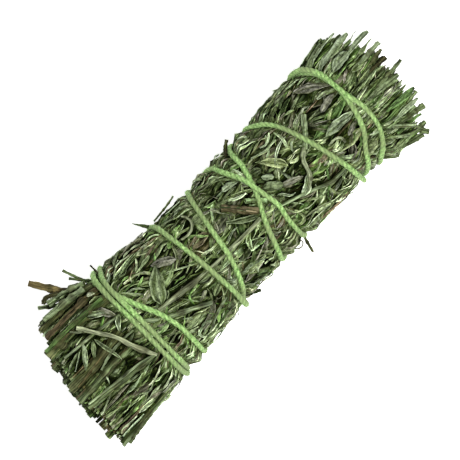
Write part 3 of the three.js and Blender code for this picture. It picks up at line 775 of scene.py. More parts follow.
# The ranges that every leaf is drawn from, in mm and radians, and then those of each kind:
# its shape, outline, how far its rim is pale, most bend, and its ranges in the order of OWN
DRAWN = {"twist": (-0.5, 0.5), "arch": (-0.1, 0.35), "tip": (-0.3, 0.5), "ragged": (-0.7, 0.7)}
OWN = ("roll", "crease", "creases", "ripple", "sway", "thick")
KINDS = {
    "pressed": (BROAD, lance, 0.85, 0.5, (-0.8, 0.8), (0.1, 0.32), (4, 8), (0, 0.22), (0, 0.25),
                (0.09, 0.14)),
    "rolled": (NARROW, lance, 1, 0.5, (1.5, 2.7), (0, 0.12), (2, 4), (0, 0.22), (0, 0.35), (0.1, 0.16)),
    "strip": (RIBBON, lance, 1, 0.9, (-1.6, 1.6), (0, 0.05), (2, 3), (0.05, 0.25), (0.05, 0.5),
              (0.1, 0.2)),
    "shred": (SHRED, ribbon, 1, 0.9, (-0.6, 0.6), (0, 0.05), (2, 3), (0, 0.12), (0, 0.1), (0.12, 0.22)),
    "blunt": (BROAD, blunt, 0.7, 0.5, (-1.3, 1.3), (0.05, 0.2), (3, 6), (0, 0.15), (0, 0.2), (0.1, 0.15)),
    "oval": (BROAD, oval, 0.55, 0.5, (-0.6, 0.6), (0.02, 0.1), (3, 5), (0, 0.12), (0, 0.1), (0.1, 0.15)),
    "filler": (FILLER, lance, 1, 0.5, (-1.2, 1.2), (0, 0.1), (2, 4), (0, 0.2), (0, 0.2), (0.12, 0.2)),
}


def pick_tints(random, count, mix):
    """One colour for each leaf, from weighted sRGB colours, each a little lighter or darker."""
    weights = np.array([share for _, share in mix], float)
    chosen = random.choice(len(mix), size=count, p=weights / weights.sum())
    tints = np.array([colour(value) for value, _ in mix])[chosen]
    tints[:, :3] *= random.uniform(0.5, 1.36, (count, 1)) * random.uniform(0.95, 1.05, (count, 3))
    tints[:, :3] *= LEAF_TONE
    return tints


def near_end(x):
    """From 0 along the middle of the bundle to 1 at its ends, where leaves lie straighter."""
    return np.clip((np.abs(x) - STRAIGHTER_FROM) / STRAIGHTER_OVER, 0, 1)


def lay_leaves(pile, kind, random, tints, limit=LIMIT, **given):
    """Bends copies of a plain blade along the bundle, one for each tint.

    given holds x, angle, height, length, half and heading, and whatever isn't to be drawn."""
    shape, outline, rim, most_bend, *own = KINDS[kind]
    ranges = {"bend": (-most_bend, most_bend), **DRAWN, **dict(zip(OWN, own))}
    count = len(tints)
    drawn = {key: random.uniform(*ends, count) for key, ends in ranges.items()}
    drawn["roll"] *= random.choice([-1, 1], count)
    phases = random.uniform(0, TURN, (4, count, 1))
    for key in ("bend", "sway"):
        drawn[key] *= 1 - 0.75 * near_end(given["x"])
    leaf = SimpleNamespace(**{key: np.broadcast_to(np.asarray(value, float), count)[:, None]
                              for key, value in {**drawn, **given}.items()})

    # Where the bundle's cut ends crop each leaf
    y = half_width(leaf.x) * np.cos(leaf.angle)
    cut = stem_end(y) - 0.4 + (y / 15) ** 2 + 0.9 * np.clip(0.5 - y / 6, 0, 1)
    ends = np.concatenate([cut + leaf.ragged, leafy_end(y) + leaf.ragged * 1.8], axis=1)
    reach = leaf.length * np.cos(leaf.heading)
    reach = np.where(np.abs(reach) < 0.5, 0.5, reach)
    cuts = np.sort((ends - leaf.x) / reach + 0.5, axis=1)
    root, tip = np.clip(cuts[:, :1], 0, 0.85), np.clip(cuts[:, 1:], 0.15, 1)

    # The leaf's own section: rolled, creased, rippled and twisted
    plain = corners_of(shape)
    u = root + (tip - root) * (plain[None, :, 0] + 1) / 2
    s = np.broadcast_to(plain[None, :, 1], u.shape)
    layer = np.abs(plain[None, :, 2]) * leaf.thick
    width = outline(u) * leaf.half * (1 + 0.1 * np.sin(u * 15 + phases[0]))
    roll = np.where(np.abs(leaf.roll) < 0.05, 0.05, leaf.roll)
    side = np.sin(roll * s) / roll * width - layer * np.sin(roll * s)
    up = (1 - np.cos(roll * s)) / roll * width + layer * np.cos(roll * s)
    up = up + leaf.crease * np.sin(s * leaf.creases + phases[1] + 1.5 * np.sin(u * 3 + phases[2]))
    up = up + leaf.ripple * np.sin(u * 11 + phases[3] + s)
    side = side + leaf.sway * np.sin(u * 6 + phases[2])
    twist = leaf.twist * (u - 0.4)
    side, up = side * np.cos(twist) - up * np.sin(twist), side * np.sin(twist) + up * np.cos(twist)

    # Its line over the bundle: bent sideways, arched, and with a raised or sunk tip
    bowed = leaf.bend * leaf.length * ((u - 0.5) ** 2 - 0.08)
    heading = leaf.heading + 2 * leaf.bend * (u - 0.5)
    ahead = leaf.length * (u - 0.5)
    x = leaf.x + ahead * np.cos(leaf.heading) - bowed * np.sin(leaf.heading) - side * np.sin(heading)
    around = ahead * np.sin(leaf.heading) + bowed * np.cos(leaf.heading) + side * np.cos(heading)
    angle = leaf.angle + around / half_width(leaf.x)
    height = leaf.height + leaf.arch * (1 - (2 * u - 1) ** 2) + up
    height = height + leaf.tip * np.maximum(u - 0.55, 0) ** 2 * 4.9
    height = height + edge_bulge(x, angle) * (leaf.height > -2)
    places = on_bundle(x, angle, held_down(x, angle, height, limit))
    places[..., 2] = on_ground(places[..., 2])

    shades = np.repeat(tints[:, None, :], u.shape[1], axis=1)
    shades[..., 3] = s / 2 * rim + 0.5
    marks = np.stack([u * leaf.length, s * leaf.half, leaf.x * 3 + 0 * u], axis=-1)
    pile.add(shape, places, shades, marks)


def scatter(pile, i, random, kind, count, mix, spread, ends=0, turned=0.5, **given):
    """Lays leaves of one kind at random over outer sprig i, or near one of its ends.

    turned is the share of them that point to the stem end."""
    y = half_width(0) * math.cos(i * CELL)
    low, high = stem_end(y) - 4, leafy_end(y) + 3
    if ends:
        low, high = (low, low + ends) if ends > 0 else (high + ends, high)
    x = random.uniform(low, high, count)
    angle = across_sprig(i, x, 0, 0) + random.uniform(-0.62, 0.62, count) * CELL
    drawn = {key: random.uniform(*value, count) if isinstance(value, tuple) else value
             for key, value in given.items()}

    # They lie in long swirls, and straighter at the ends and along the far edge
    flow = 0.15 * np.sin(x / 7.3 + 2.1 * np.sin(angle * 3)) + 0.12 * np.sin(x / 4.9 + angle * 5 + 1)
    spread = spread * (1 - 0.6 * np.clip((np.cos(angle) - 0.5) / 0.25, 0, 1))
    heading = flow * (1.6 - 1.3 * near_end(x)) + random.normal(0, 1, count) * spread * (
        1.25 - 0.75 * near_end(x)) + np.where(random.uniform(0, 1, count) < turned, math.pi, 0)

    # At the cut end leaves may reach past the cut, at the leafy end most tips are whole
    first = stem_end(y) - drawn["length"] * 0.4
    last = leafy_end(y) + random.uniform(-1.5, 0.8, count) - drawn["length"] * 0.45
    lay_leaves(pile, kind, random, pick_tints(random, count, mix),
               x=np.clip(x, first, last), angle=angle, heading=heading, **drawn)


# Stems

def lay_rod(pile, shape, points, radius, tint, random, cut=PITH, ridges=0.12, taper=0.0, nodes=0,
            least=0.0, flat=1.0):
    """Bends a plain rod along the points. A cut end is sunk a little and has its own colour.

    A node is a place where leaves grew: a little thicker, and browner."""
    plain = corners_of(shape)
    t = np.clip(plain[:, 2] + 0.5, 0, 1)
    line = smooth_line(points, ROD_STEPS)
    centre, ahead = (np.stack([np.interp(t * (ROD_STEPS - 1), np.arange(ROD_STEPS), values)
                               for values in rows.T], axis=1)
                     for rows in (line, np.gradient(line, axis=0)))
    ahead /= np.linalg.norm(ahead, axis=1)[:, None]
    first = np.cross(ahead, [0.0, 0.0, 1.0])
    first /= np.linalg.norm(first, axis=1)[:, None]
    second = np.cross(first, ahead)
    turn = np.arctan2(plain[:, 1], plain[:, 0])
    share = np.hypot(plain[:, 0], plain[:, 1])
    phase = random.uniform(0, TURN, 5)
    uneven = 1 + ridges * (
        np.sin(turn * 3 + phase[0]) + 0.7 * np.sin(turn * 2 + t * 9 + phase[1])
        + 0.6 * np.sin(t * 23 + phase[2]) + 0.5 * np.sin(t * 41 + turn + phase[4]))
    node = np.exp(-((t[:, None] - random.uniform(0.15, 0.85, nodes)) * 22) ** 2).sum(axis=1)
    wide = radius * (uneven + 0.3 * node) * share * (1 - taper * t)
    sunk = np.where(share < 0.9, radius * 0.2, 0) * np.sign(plain[:, 2])
    across = np.cos(turn)[:, None] * first + flat * np.sin(turn)[:, None] * second
    places = centre + wide[:, None] * across - ahead * sunk[:, None]
    places[:, 2] = on_ground(places[:, 2])
    tints = np.tile(tint, (len(plain), 1))
    tints[:, :3] *= random.uniform(0.75, 1.25, (len(plain), 1))
    tints = tints + (np.array(colour(DARK_BARK)) - tints) * np.clip(node, 0, 0.7)[:, None]
    tints[share < 0.9] = colour(cut)
    marks = np.stack([t * distance_along(line)[-1], turn * radius, 0 * t + phase[3]], axis=1)
    pile.add(shape, places[None], tints[None], marks[None], least)


def lay_seen_stem(pile, tint, radius, points, random):
    """A stem that can be told apart. One that isn't thin has strands of bark along it."""
    long = np.ptp([point[0] for point in points]) > 6
    lay_rod(pile, LONG_ROD, points, radius, colour(tint), random, cut=DARK_BARK,
            ridges=0.16, nodes=3 if long else 1, least=SEEN_SHADE)
    line = smooth_line(points, STRAND_STEPS)
    thick = radius > 0.75
    shape, hues, darkest, fine = ((ROD, [tint, tint, OLIVE, TAUPE, SAGE, GOLDEN], 0.45, 1) if thick
                                  else (TWIG, [tint, tint, BARK], 0.75, 0.55))
    for _ in range(13 if radius > 1 else 9 if thick else 5 if radius >= 0.4 else 0):
        first = random.integers(0, 40) * (random.uniform() < 0.7)
        last = min(STRAND_STEPS - 1, first + random.integers(14, 50))
        turn = random.uniform(0.1, math.pi - 0.1)
        strand = line[first:last:6] + (0, radius * math.cos(turn), radius * 0.9 * math.sin(turn))
        strand = strand + random.uniform(-0.08, 0.08, strand.shape)
        shade = np.array(colour(random.choice(hues))) * random.uniform(darkest, 1.5)
        lay_rod(pile, shape, strand, random.uniform(0.1, 0.24) * fine, shade, random,
                cut=DARK_BARK, least=SEEN_SHADE)


def on_surface(points, lift, radius):
    """A line over the given (x, y) places, on the leaves or under the string.

    At the leafy end its root is sunk between the leaves."""
    placed = []
    for x, y in smooth_line(points, 2 + 2 * len(points)):
        angle = min(max(angle_over(x, y, lift), OUTERMOST), math.pi - OUTERMOST)
        height = held_down(np.array(x), np.array(angle), lift, STRING_LIMIT, 0.8 * radius)
        if points[0][0] > ROOTS_SUNK_FROM and radius < 0.75:
            height = height - 1.2 * max(0, 1 - (x - points[0][0]) / 3)
        point = on_bundle(x, angle, float(height))
        point[1] = y
        placed.append(point)
    return placed


# Outer sprigs

def sprig_rule(i):
    """The frame's own stem and main leaves of sprig i."""
    number = plain_random(SEED + 97 * (i + 1))
    y = half_width(0) * math.cos(i * CELL)
    start = stem_end(y) + between(SPRIG_START, next(number))
    finish = leafy_end(y) - between(SPRIG_FINISH, next(number))
    stem = (start - between(STEM_PAST_END, next(number)),
            finish + between(STEM_PAST_END, next(number)), next(number) * TURN)
    forward = -1 if i % BACKWARD_SPRIG == 1 else 1
    first = start if forward > 0 else start + LEAF_LAST_ROOT
    leaves = []
    for leaf in range(2 * LEAF_PAIRS):
        share = (leaf + next(number)) / (2 * LEAF_PAIRS)
        x = first + share * (finish - start - LEAF_LAST_ROOT)
        room = (finish - x if forward > 0 else x - start) + LEAF_PAST_END
        side = 1 if leaf % 2 else -1
        length = min(between(LEAF_LENGTH, next(number)), room)
        half = between(LEAF_HALF_WIDTH, next(number))
        slant = side * between(LEAF_SLANT, next(number))
        root = side * between(LEAF_ROOT_ACROSS, next(number))
        top = between(LEAF_TOP, next(number))
        # The frame's leaf draws one number more, for its curl
        next(number)
        middle = x + forward * length / 2 * math.cos(slant)
        width = (border(i, x) - border(i - 1, x)) * half_width(x) / 2
        share = root + length / 2 * math.sin(slant) / width
        heading = slant if forward > 0 else math.pi - slant
        leaves.append((middle, float(across_sprig(i, middle, share, top)), top - 0.6, length,
                       half, heading))
    return start, finish, stem, np.array(leaves)


def lay_core(pile, i, start, finish, random):
    """The mass of pressed leaves in the middle of a sprig, which the others lie on."""
    plain = corners_of(CORE)
    x = between((start + CORE_FROM_END, finish - CORE_FROM_END), (plain[:, 0] + 1) / 2)
    outside = np.abs(plain[:, 2]) < 0.5
    bumps = sum(0.16 * np.sin(x * k + plain[:, 1] * m + p) for k, m, p in
                random.uniform((0.5, 2, 0), (3.1, 9, TURN), (7, 3)))
    height = np.where(outside, CORE_TOP + bumps, (CORE_INSIDE - 1) * half_width(x))
    angle = across_sprig(i, x, plain[:, 1], height)
    places = on_bundle(x, angle, held_down(x, angle, height, LIMIT))
    lifted = np.maximum(places[:, 2], CORE_GROUND + 0.3 * bumps)
    places[:, 2] = np.where(outside, lifted, places[:, 2])
    # The core's colour is darkened to near black: painted shade deep in the bundle
    tints = np.tile(colour(DEEP), (len(plain), 1))
    tints[:, :3] *= (0.35 + 0.12 * random.uniform(-1, 1, len(plain)))[:, None]
    marks = np.stack([x, plain[:, 1] * 3, 0 * x], axis=1)
    pile.add(CORE, places[None], tints[None], marks[None])


def lay_stem(pile, i, stem, random):
    low, high, phase = stem
    x = np.linspace(low, high, 9)
    wander = STEM_WANDER * np.sin(x * TURN / STEM_WANDER_LENGTH + phase)
    angle = across_sprig(i, x, wander, -STEM_DEPTH)
    points = on_bundle(x, angle, -STEM_DEPTH - STEM_RADIUS)
    points[:, 2] = np.maximum(points[:, 2], STEM_GROUND)
    lay_rod(pile, ROD, points, STEM_RADIUS, pick_tints(random, 1, STEM_MIX)[0], random)


def lay_end_stalks(pile, i, leafy, mix, random):
    """Leaf stalks and rolled leaf ends that fill the bundle's end face."""
    outward = 1 if leafy else -1
    for _ in range(END_STALKS):
        height = random.uniform(-7.4, -1.0)
        angle = across_sprig(i, END_PLACE * outward, random.uniform(-1, 1), height)
        y = (half_width(END_PLACE) + height) * math.cos(angle)
        end = leafy_end(y) if leafy else stem_end(y)
        stop = end + outward * random.uniform(-1.8, 0.3) - 1.6 * leafy
        x = np.linspace(stop - outward * random.uniform(6, 11), stop, 4)
        points = on_bundle(x, angle + np.linspace(0, random.uniform(-0.06, 0.06), 4), height)
        lay_rod(pile, TWIG, points, random.uniform(0.28, 0.6), pick_tints(random, 1, mix)[0],
                random, cut=random.choice(CUT_COLOURS), ridges=0.35)


def lay_layers(pile, i, random, layers, mix=None, **where):
    for kind, count, own_mix, height, length, half, spread in layers:
        scatter(pile, i, random, kind, count, own_mix or mix, spread, height=height, length=length,
                half=half, **where)


def lay_told_apart(pile, i, random):
    """The twigs, tips, stems and leaves of sprig i that can be told apart."""
    for place, tint, radius, root_x, root_height, *tip in TWIGS:
        if place == i:
            root = on_bundle(root_x, across_sprig(i, root_x, 0, root_height), root_height)
            middle = (root + tip) / 2 + random.uniform(-0.3, 0.3, 3)
            lay_rod(pile, LONG_ROD, [root, middle, tip], radius, colour(tint), random,
                    taper=-0.1, nodes=2, least=TWIG_SHADE)
    for place, tint, half, taper, *points in TIPS:
        if place == i:
            lay_rod(pile, LONG_ROD, points, half, colour(tint), random, cut=tint, taper=taper,
                    least=TWIG_SHADE, flat=0.35 if half > 0.2 else 1.0)
    for tint, radius, lift, *points in SEEN_STEMS:
        if sprig_under(*points[len(points) // 2]) == i:
            lay_seen_stem(pile, tint, radius, on_surface(points, lift, radius), random)
    for tint, half, lift, kind, root, tip in SEEN_LEAVES:
        x, y = np.add(root, tip) / 2
        if sprig_under(x, y) == i:
            along = tip[0] - root[0]
            around = (angle_over(*tip) - angle_over(*root)) * half_width(x)
            lay_leaves(pile, kind, random, np.array([colour(tint)]), x=x, angle=angle_over(x, y),
                       height=lift - 0.2, length=math.hypot(along, around), half=half,
                       heading=math.atan2(around, along), bend=0.05, twist=0.1,
                       ragged=math.copysign(4, x), limit=STRING_LIMIT)


def outer_sprig(i):
    random = np.random.default_rng(SEED + i)
    start, finish, stem, leaves = sprig_rule(i)
    pile = Pile()
    lay_core(pile, i, start, finish, random)
    lay_stem(pile, i, stem, random)
    lay_layers(pile, i, random, UNDER_LAYERS)
    lay_leaves(pile, "pressed", random, pick_tints(random, len(leaves), LEAF_MIX),
               **dict(zip(("x", "angle", "height", "length", "half", "heading"), leaves.T)))
    lay_layers(pile, i, random, TOP_LAYERS)
    curls = random.uniform(0.5, 1.4, CURLED) * random.choice([-1, 1], CURLED)
    scatter(pile, i, random, "strip", CURLED, TOP_MIX, 0.8, height=(-0.4, 0), length=(3, 7),
            half=(0.1, 0.17), bend=curls)
    lay_layers(pile, i, random, RAISED_LAYER, tip=(0.7, 1.5))
    lay_layers(pile, i, random, LEAFY_END_LAYER, ends=-8, turned=0)
    for ends, mix in ((9, LEAF_MIX), (-9, TOP_MIX)):
        lay_layers(pile, i, random, END_LAYERS, mix, ends=ends)
        lay_end_stalks(pile, i, ends < 0, mix, random)
    lay_told_apart(pile, i, random)
    return f"sprig_{i + 1:02d}", "leaves", "dried_leaf", pile


# Inner sprigs

def inner_sprig(index, cell):
    random = np.random.default_rng(SEED + 500 + index)
    number = plain_random(SEED + 1009 + 31 * index)
    y = cell[0] * RING_PITCH * half_width(0)
    low = stem_end(y) + between(ROD_END, next(number))
    high = leafy_end(y) - between(ROD_END, next(number)) - 3
    pile = Pile()

    def in_lattice(x, angle, radius):
        pitch = RING_PITCH * half_width(x)
        return np.stack(np.broadcast_arrays(
            x, cell[0] * pitch + radius * np.cos(angle),
            axis_height(x) + cell[1] * pitch * SQUASH + radius * SQUASH * np.sin(angle)), axis=-1)

    x = np.linspace(low - 0.4, high + 0.4, 7)
    sway = random.uniform(-0.25, 0.25, 7)
    lay_rod(pile, ROD, in_lattice(x, sway * 9, np.abs(sway)), random.uniform(0.7, 1.15),
            pick_tints(random, 1, STEM_MIX)[0], random)
    for end, outward in ((low, -1), (high, 1)):
        for _ in range(INNER_STALKS):
            stop = end + outward * random.uniform(-1.2, 1.6)
            length = random.uniform(7, 12)
            turn, out = random.uniform(0, TURN), random.uniform(0.7, 1.7)
            x = np.linspace(stop - outward * length, stop, 4)
            angle = turn + np.linspace(0, random.uniform(-0.5, 0.5), 4)
            tint = pick_tints(random, 1, LEAF_MIX)[0]
            lay_rod(pile, TWIG, in_lattice(x, angle, out), random.uniform(0.25, 0.55), tint,
                    random, cut=random.choice(CUT_COLOURS), ridges=0.35)
    return f"inner_sprig_{index + 1:02d}", "stem", "woody_stem", pile


# String

def string_frame(line):
    """Directions along and across the line at each point, carried along it without turning."""
    ahead = np.gradient(line, axis=0)
    ahead /= np.linalg.norm(ahead, axis=1)[:, None]
    first = np.zeros_like(line)
    side = np.cross(ahead[0], [0.0, 0.0, 1.0])
    for i, direction in enumerate(ahead):
        side = side - direction * side.dot(direction)
        side /= np.linalg.norm(side)
        first[i] = side
    return ahead, first, np.cross(ahead, first)


def string_fibres(line, ahead, first, second):
    """Loose fibres that stand off the yarn."""
    random = np.random.default_rng(SEED + 900)
    pile = Pile()
    for _ in range(FIBRES):
        i = random.integers(2, len(line) - 8)
        turn = random.uniform(0, TURN)
        out = math.cos(turn) * first[i] + math.sin(turn) * second[i]
        drift = ahead[i] * random.uniform(0.3, 1.1) * random.choice([-1, 1])
        aside = np.cross(ahead[i], out) * random.uniform(-0.5, 0.5)
        base = line[i] + out * STRING_DIAMETER * 0.44
        lift = random.uniform(0.08, 0.34)
        points = [base, base + drift * 0.5 + aside * 0.4 + out * lift,
                  base + drift + aside + out * lift * random.uniform(0.4, 1.5)]
        lay_rod(pile, FIBRE, points, FIBRE_RADIUS, colour(STRING_COLOUR), random, ridges=0)
    fuzz = pile.plain_mesh("string_fuzz")
    ridge = fuzz.attributes.new("ply_ridge", "FLOAT", "POINT")
    ridge.data.foreach_set("value", np.full(len(fuzz.vertices), 0.5, np.float32))
    return fuzz


def binding_string():
    centre = np.vstack([on_bundle(STRING_X, STRING_ANGLE, STRING_HEIGHT)[::2],
                        on_bundle(KNOT_X, KNOT_ANGLE, KNOT_HEIGHT)])
    steps = int(distance_along(centre)[-1] / TUBE_STEP)
    line = smooth_line(centre, steps + 1, per_piece=8)
    ahead, first, second = string_frame(line)
    walked = distance_along(line)
    thickness = 1 + 0.05 * np.sin(walked / 2.3) + 0.05 * np.sin(walked / 5.1 + 2)

    # A tube: a grid rolled up, welded along its seam and closed at both ends
    made = bmesh.new()
    ridge = made.verts.layers.float.new("ply_ridge")
    bmesh.ops.create_grid(made, x_segments=steps, y_segments=TUBE_SIDES, size=1)
    for vertex in made.verts:
        i = int(round((vertex.co.x + 1) / 2 * steps))
        turn = (vertex.co.y + 1) * math.pi
        twist = PLIES * (turn - TURN * walked[i] / PLY_PITCH)
        radius = STRING_DIAMETER / 2 * (1 + PLY_RELIEF * math.cos(twist)) * thickness[i]
        place = line[i] + radius * (math.cos(turn) * first[i] + math.sin(turn) * second[i])
        vertex.co = place * MM
        vertex[ridge] = math.cos(twist) / 2 + 0.5
    bmesh.ops.remove_doubles(made, verts=made.verts[:], dist=1e-6)
    bmesh.ops.holes_fill(made, edges=[e for e in made.edges if e.is_boundary], sides=TUBE_SIDES)
    bmesh.ops.recalc_face_normals(made, faces=made.faces[:])
    fuzz = string_fibres(line, ahead, first, second)
    made.from_mesh(fuzz)
    bpy.data.meshes.remove(fuzz)
    for face in made.faces:
        face.smooth = True
        face.material_index = 0
    mesh = bpy.data.meshes.new("cotton_string")
    made.to_mesh(mesh)
    made.free()
    add_piece("cotton_string", mesh, [cotton], "cotton_string", "binding_string")


# Materials. Noise scales on Object coordinates are the number of patches along a metre.

def add_node(tree, kind, settings=None, links=None):
    """Adds a node, sets its own values or sockets by name, and links sockets to outputs.

    A link that is given as a node is taken from the node's first output."""
    made = tree.nodes.new("ShaderNode" + kind)
    for key, value in (settings or {}).items():
        if isinstance(key, str) and hasattr(made, key):
            setattr(made, key, value)
        else:
            made.inputs[key].default_value = value
    for key, source in (links or {}).items():
        tree.links.new(getattr(source, "outputs", [source])[0], made.inputs[key])
    return made


def new_material(name):
    material = bpy.data.materials.new(name)
    material.use_nodes = True
    material.node_tree.nodes.clear()
    return material, material.node_tree


def grown_material(name, stretch, roughness):
    """A material with its leaf's or stem's colour, with painted shade and light in it, and a grain that
    runs along it.

    stretch is how many times a millimetre the grain changes, along and across the leaf."""
    material, tree = new_material(name)
    tint = add_node(tree, "Attribute", {"attribute_name": "leaf_colour"})
    mark = add_node(tree, "Attribute", {"attribute_name": "place_on_leaf"})
    stretched = add_node(tree, "VectorMath", {"operation": "MULTIPLY", 1: stretch},
                         {0: mark.outputs["Vector"]})
    grain = add_node(tree, "TexNoise", {"Scale": 1, "Detail": 4, "Roughness": roughness},
                     {"Vector": stretched})
    return material, tree, tint, stretched, grain


def add_surface(tree, tone, relief, depth, strength, settings):
    """Ends a material: its surface in the given tone, with relief of the given depth in mm."""
    bump = add_node(tree, "Bump", {"Strength": strength, "Distance": depth * MM}, {"Height": relief})
    surface = add_node(tree, "BsdfPrincipled", settings, {"Base Color": tone, "Normal": bump})
    add_node(tree, "OutputMaterial", None, {"Surface": surface})


def dried_leaf_material():
    # Air-dried sage leaf: matt, with a pale felted rim and midrib, lengthwise folds about
    # 0.7 mm apart with finer wrinkles on them, and dust that blotches it every 0.8 mm or so.
    # Its colour is darker in the folds' hollows and lighter on their crests: partly grain, partly
    # painted shade and light.
    material, tree, tint, _, folds = grown_material("dried_sage_leaf", (0.3, 1.5, 1), 0.7)
    coordinates = add_node(tree, "TexCoord")
    dust = add_node(tree, "TexNoise", {"Scale": 1300, "Detail": 4, "Roughness": 0.8},
                    {"Vector": coordinates.outputs["Object"]})
    # Colour follows the folds: darker in their hollows, lighter on their crests, partly painted shade and
    # light
    grain_and_relief_shade = add_node(tree, "MapRange", {"From Min": 0.34, "From Max": 0.66,
                                          "To Min": 0.08, "To Max": 1.72}, {"Value": folds})
    blotches = add_node(tree, "MapRange", {"From Min": 0.33, "From Max": 0.67,
                                           "To Min": 0.28, "To Max": 1.8}, {"Value": dust})
    both = add_node(tree, "Math", {"operation": "MULTIPLY"}, {0: grain_and_relief_shade, 1: blotches})

    # The attribute's alpha runs from 0 to 1 across the leaf
    aside = add_node(tree, "Math", {"operation": "SUBTRACT", 1: 0.5}, {0: tint.outputs["Alpha"]})
    from_rib = add_node(tree, "Math", {"operation": "ABSOLUTE"}, {0: aside})
    rim = add_node(tree, "MapRange", {"From Min": 0.29, "From Max": 0.41, "To Max": 0.85},
                   {"Value": from_rib})
    rib = add_node(tree, "MapRange", {"From Min": 0.07, "From Max": 0.02, "To Max": 0.4},
                   {"Value": from_rib})
    pale = add_node(tree, "Math", {"operation": "MAXIMUM"}, {0: rim, 1: rib})
    felt = add_node(tree, "VectorMath", {"operation": "MULTIPLY", 1: (1.9, 1.83, 1.95)}, {0: tint})
    body = add_node(tree, "VectorMath", {"operation": "SCALE", "Scale": 0.8}, {0: tint})
    felted = add_node(tree, "Mix", {"data_type": "RGBA"}, {0: pale, 6: body, 7: felt})
    shaded = add_node(tree, "VectorMath", {"operation": "SCALE"},
                      {0: felted.outputs[2], "Scale": both})
    add_surface(tree, shaded, folds, 0.3, 0.7, {"Roughness": 0.85, "Specular IOR Level": 0.04})
    return material


def woody_stem_material():
    # Dried sage stem: thin bark with lengthwise ribs about 0.3 mm apart, worn in patches.
    # Its colour is darker between the ribs and lighter on them: partly grain, partly painted shade and
    # light.
    material, tree, tint, stretched, ribs = grown_material(
        "dried_sage_stem_bark", (0.3, 3.6, 1), 0.65)
    patches = add_node(tree, "TexNoise", {"Scale": 0.5, "Detail": 3}, {"Vector": stretched})
    # Colour follows the ribs: darker between them, lighter on them, partly painted shade and light
    grain_and_relief_shade = add_node(tree, "MapRange", {"From Min": 0.33, "From Max": 0.67,
                                          "To Min": 0.3, "To Max": 1.6}, {"Value": ribs})
    worn = add_node(tree, "MapRange", {"From Min": 0.35, "From Max": 0.65,
                                       "To Min": 0.55, "To Max": 1.35}, {"Value": patches})
    both = add_node(tree, "Math", {"operation": "MULTIPLY"}, {0: grain_and_relief_shade, 1: worn})
    shaded = add_node(tree, "VectorMath", {"operation": "SCALE"}, {0: tint, "Scale": both})
    add_surface(tree, shaded, ribs, 0.2, 0.6, {"Roughness": 0.8, "Specular IOR Level": 0.06})
    return material


def cotton_material():
    # Soft-spun dyed cotton: three plies laid obliquely, flecks of about 0.7 mm where the dye took
    # unevenly, and stretches some 7 mm long that have picked up brown dust from the leaves.
    # The grooves between the plies are darker and the plies' crowns lighter: painted shade and light.
    material, tree = new_material("dyed_cotton_yarn")
    coordinates = add_node(tree, "TexCoord").outputs["Object"]
    ply = add_node(tree, "Attribute", {"attribute_name": "ply_ridge"})
    flecks = add_node(tree, "TexNoise", {"Scale": 1500, "Detail": 4, "Roughness": 0.8},
                      {"Vector": coordinates})
    fade = add_node(tree, "TexNoise", {"Scale": 150, "Detail": 3}, {"Vector": coordinates})
    uneven = add_node(tree, "MapRange", {"From Min": 0.36, "From Max": 0.64}, {"Value": flecks})
    shades = add_node(tree, "Mix", {"data_type": "RGBA", 6: colour(DYE_DARK),
                                    7: colour(DYE_PALE)}, {0: uneven})
    dust = add_node(tree, "MapRange", {"From Min": 0.42, "From Max": 0.64, "To Max": 0.72},
                    {"Value": fade})
    dusty = add_node(tree, "Mix", {"data_type": "RGBA", 7: colour(DYE_DUSTY)},
                     {0: dust, 6: shades.outputs[2]})
    # Painted shade in the grooves between the plies, painted light on their crowns
    painted_ply_shade = add_node(tree, "MapRange", {"From Max": 0.6, "To Min": 0.66, "To Max": 1.1},
                       {"Value": ply.outputs["Fac"]})
    dyed = add_node(tree, "VectorMath", {"operation": "SCALE"},
                    {0: dusty.outputs[2], "Scale": painted_ply_shade})
    add_surface(tree, dyed, flecks, 0.15, 0.5, {"Roughness": 0.9, "Specular IOR Level": 0.2,
                                                "Sheen Weight": 0.05, "Sheen Roughness": 0.5})
    return material


dried_leaf = dried_leaf_material()
woody_stem = woody_stem_material()
cotton = cotton_material()

sprigs = [outer_sprig(i) for i in range(SPRIGS)]
cells = [(column + row / 2, row * math.sqrt(3) / 2)
         for column in range(-RINGS, RINGS + 1) for row in range(-RINGS, RINGS + 1)
         if abs(column + row) <= RINGS]
sprigs += [inner_sprig(index, cell) for index, cell in enumerate(cells)]
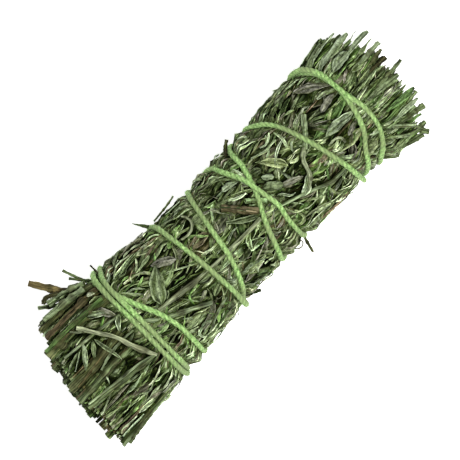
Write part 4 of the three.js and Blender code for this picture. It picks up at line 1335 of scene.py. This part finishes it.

# All leaves are laid before shade is painted on any, because each lies in the shade of the others
closed = around_cells(cover, np.max, 1)
closed_wide = around_cells(closed, np.max, 1)
near_level = around_cells(closed, np.mean, 2)
level = around_cells(closed, np.mean, 6)
for node, part, slot, pile in sprigs:
    name = f"{node}_{part}"
    add_piece(name, pile.leafy_mesh(name), [dried_leaf, woody_stem], slot, node)

binding_string()

for shape in (BROAD, NARROW, RIBBON, FILLER, SHRED, CORE, ROD, LONG_ROD, TWIG, FIBRE):
    bpy.data.meshes.remove(shape)


# Studio: pale floor, soft light from above, camera straight down

def studio():
    scene = bpy.context.scene
    scene.view_settings.view_transform = "Standard"

    made = bmesh.new()
    bmesh.ops.create_grid(made, x_segments=1, y_segments=1, size=FLOOR_HALF)
    floor_mesh = bpy.data.meshes.new("floor")
    made.to_mesh(floor_mesh)
    made.free()
    paper, tree = new_material("white_paper")
    surface = add_node(tree, "BsdfPrincipled",
                       {"Base Color": colour(PAPER), "Roughness": 0.9, "Specular IOR Level": 0.1,
                        "Emission Color": (1, 1, 1, 1), "Emission Strength": PAPER_GLOW})
    add_node(tree, "OutputMaterial", None, {"Surface": surface})
    floor_mesh.materials.append(paper)
    floor = bpy.data.objects.new("floor", floor_mesh)
    scene.collection.objects.link(floor)

    world = bpy.data.worlds.new("soft_studio")
    world.use_nodes = True
    background = world.node_tree.nodes["Background"]
    background.inputs["Color"].default_value = (1, 1, 1, 1)
    background.inputs["Strength"].default_value = SKY_LIGHT
    scene.world = world

    aim = np.array(CAMERA_AIM) * MM
    for name, place, size, power in LIGHTS:
        light = bpy.data.lights.new(name, "AREA")
        light.shape = "DISK"
        light.size = size
        light.energy = power
        lamp = bpy.data.objects.new(name, light)
        lamp.location = place
        x, y, z = place - aim
        lamp.rotation_euler = (math.atan2(math.hypot(x, y), z), 0, math.atan2(y, x) + math.pi / 2)
        scene.collection.objects.link(lamp)

    view = bpy.data.cameras.new("camera")
    view.lens = LENS
    view.sensor_width = SENSOR
    camera = bpy.data.objects.new("camera", view)
    camera.location = (aim[0], aim[1], aim[2] + FIELD * LENS / SENSOR * MM)
    camera.rotation_euler = (0, 0, CAMERA_TURN)
    scene.collection.objects.link(camera)
    scene.camera = camera


studio()
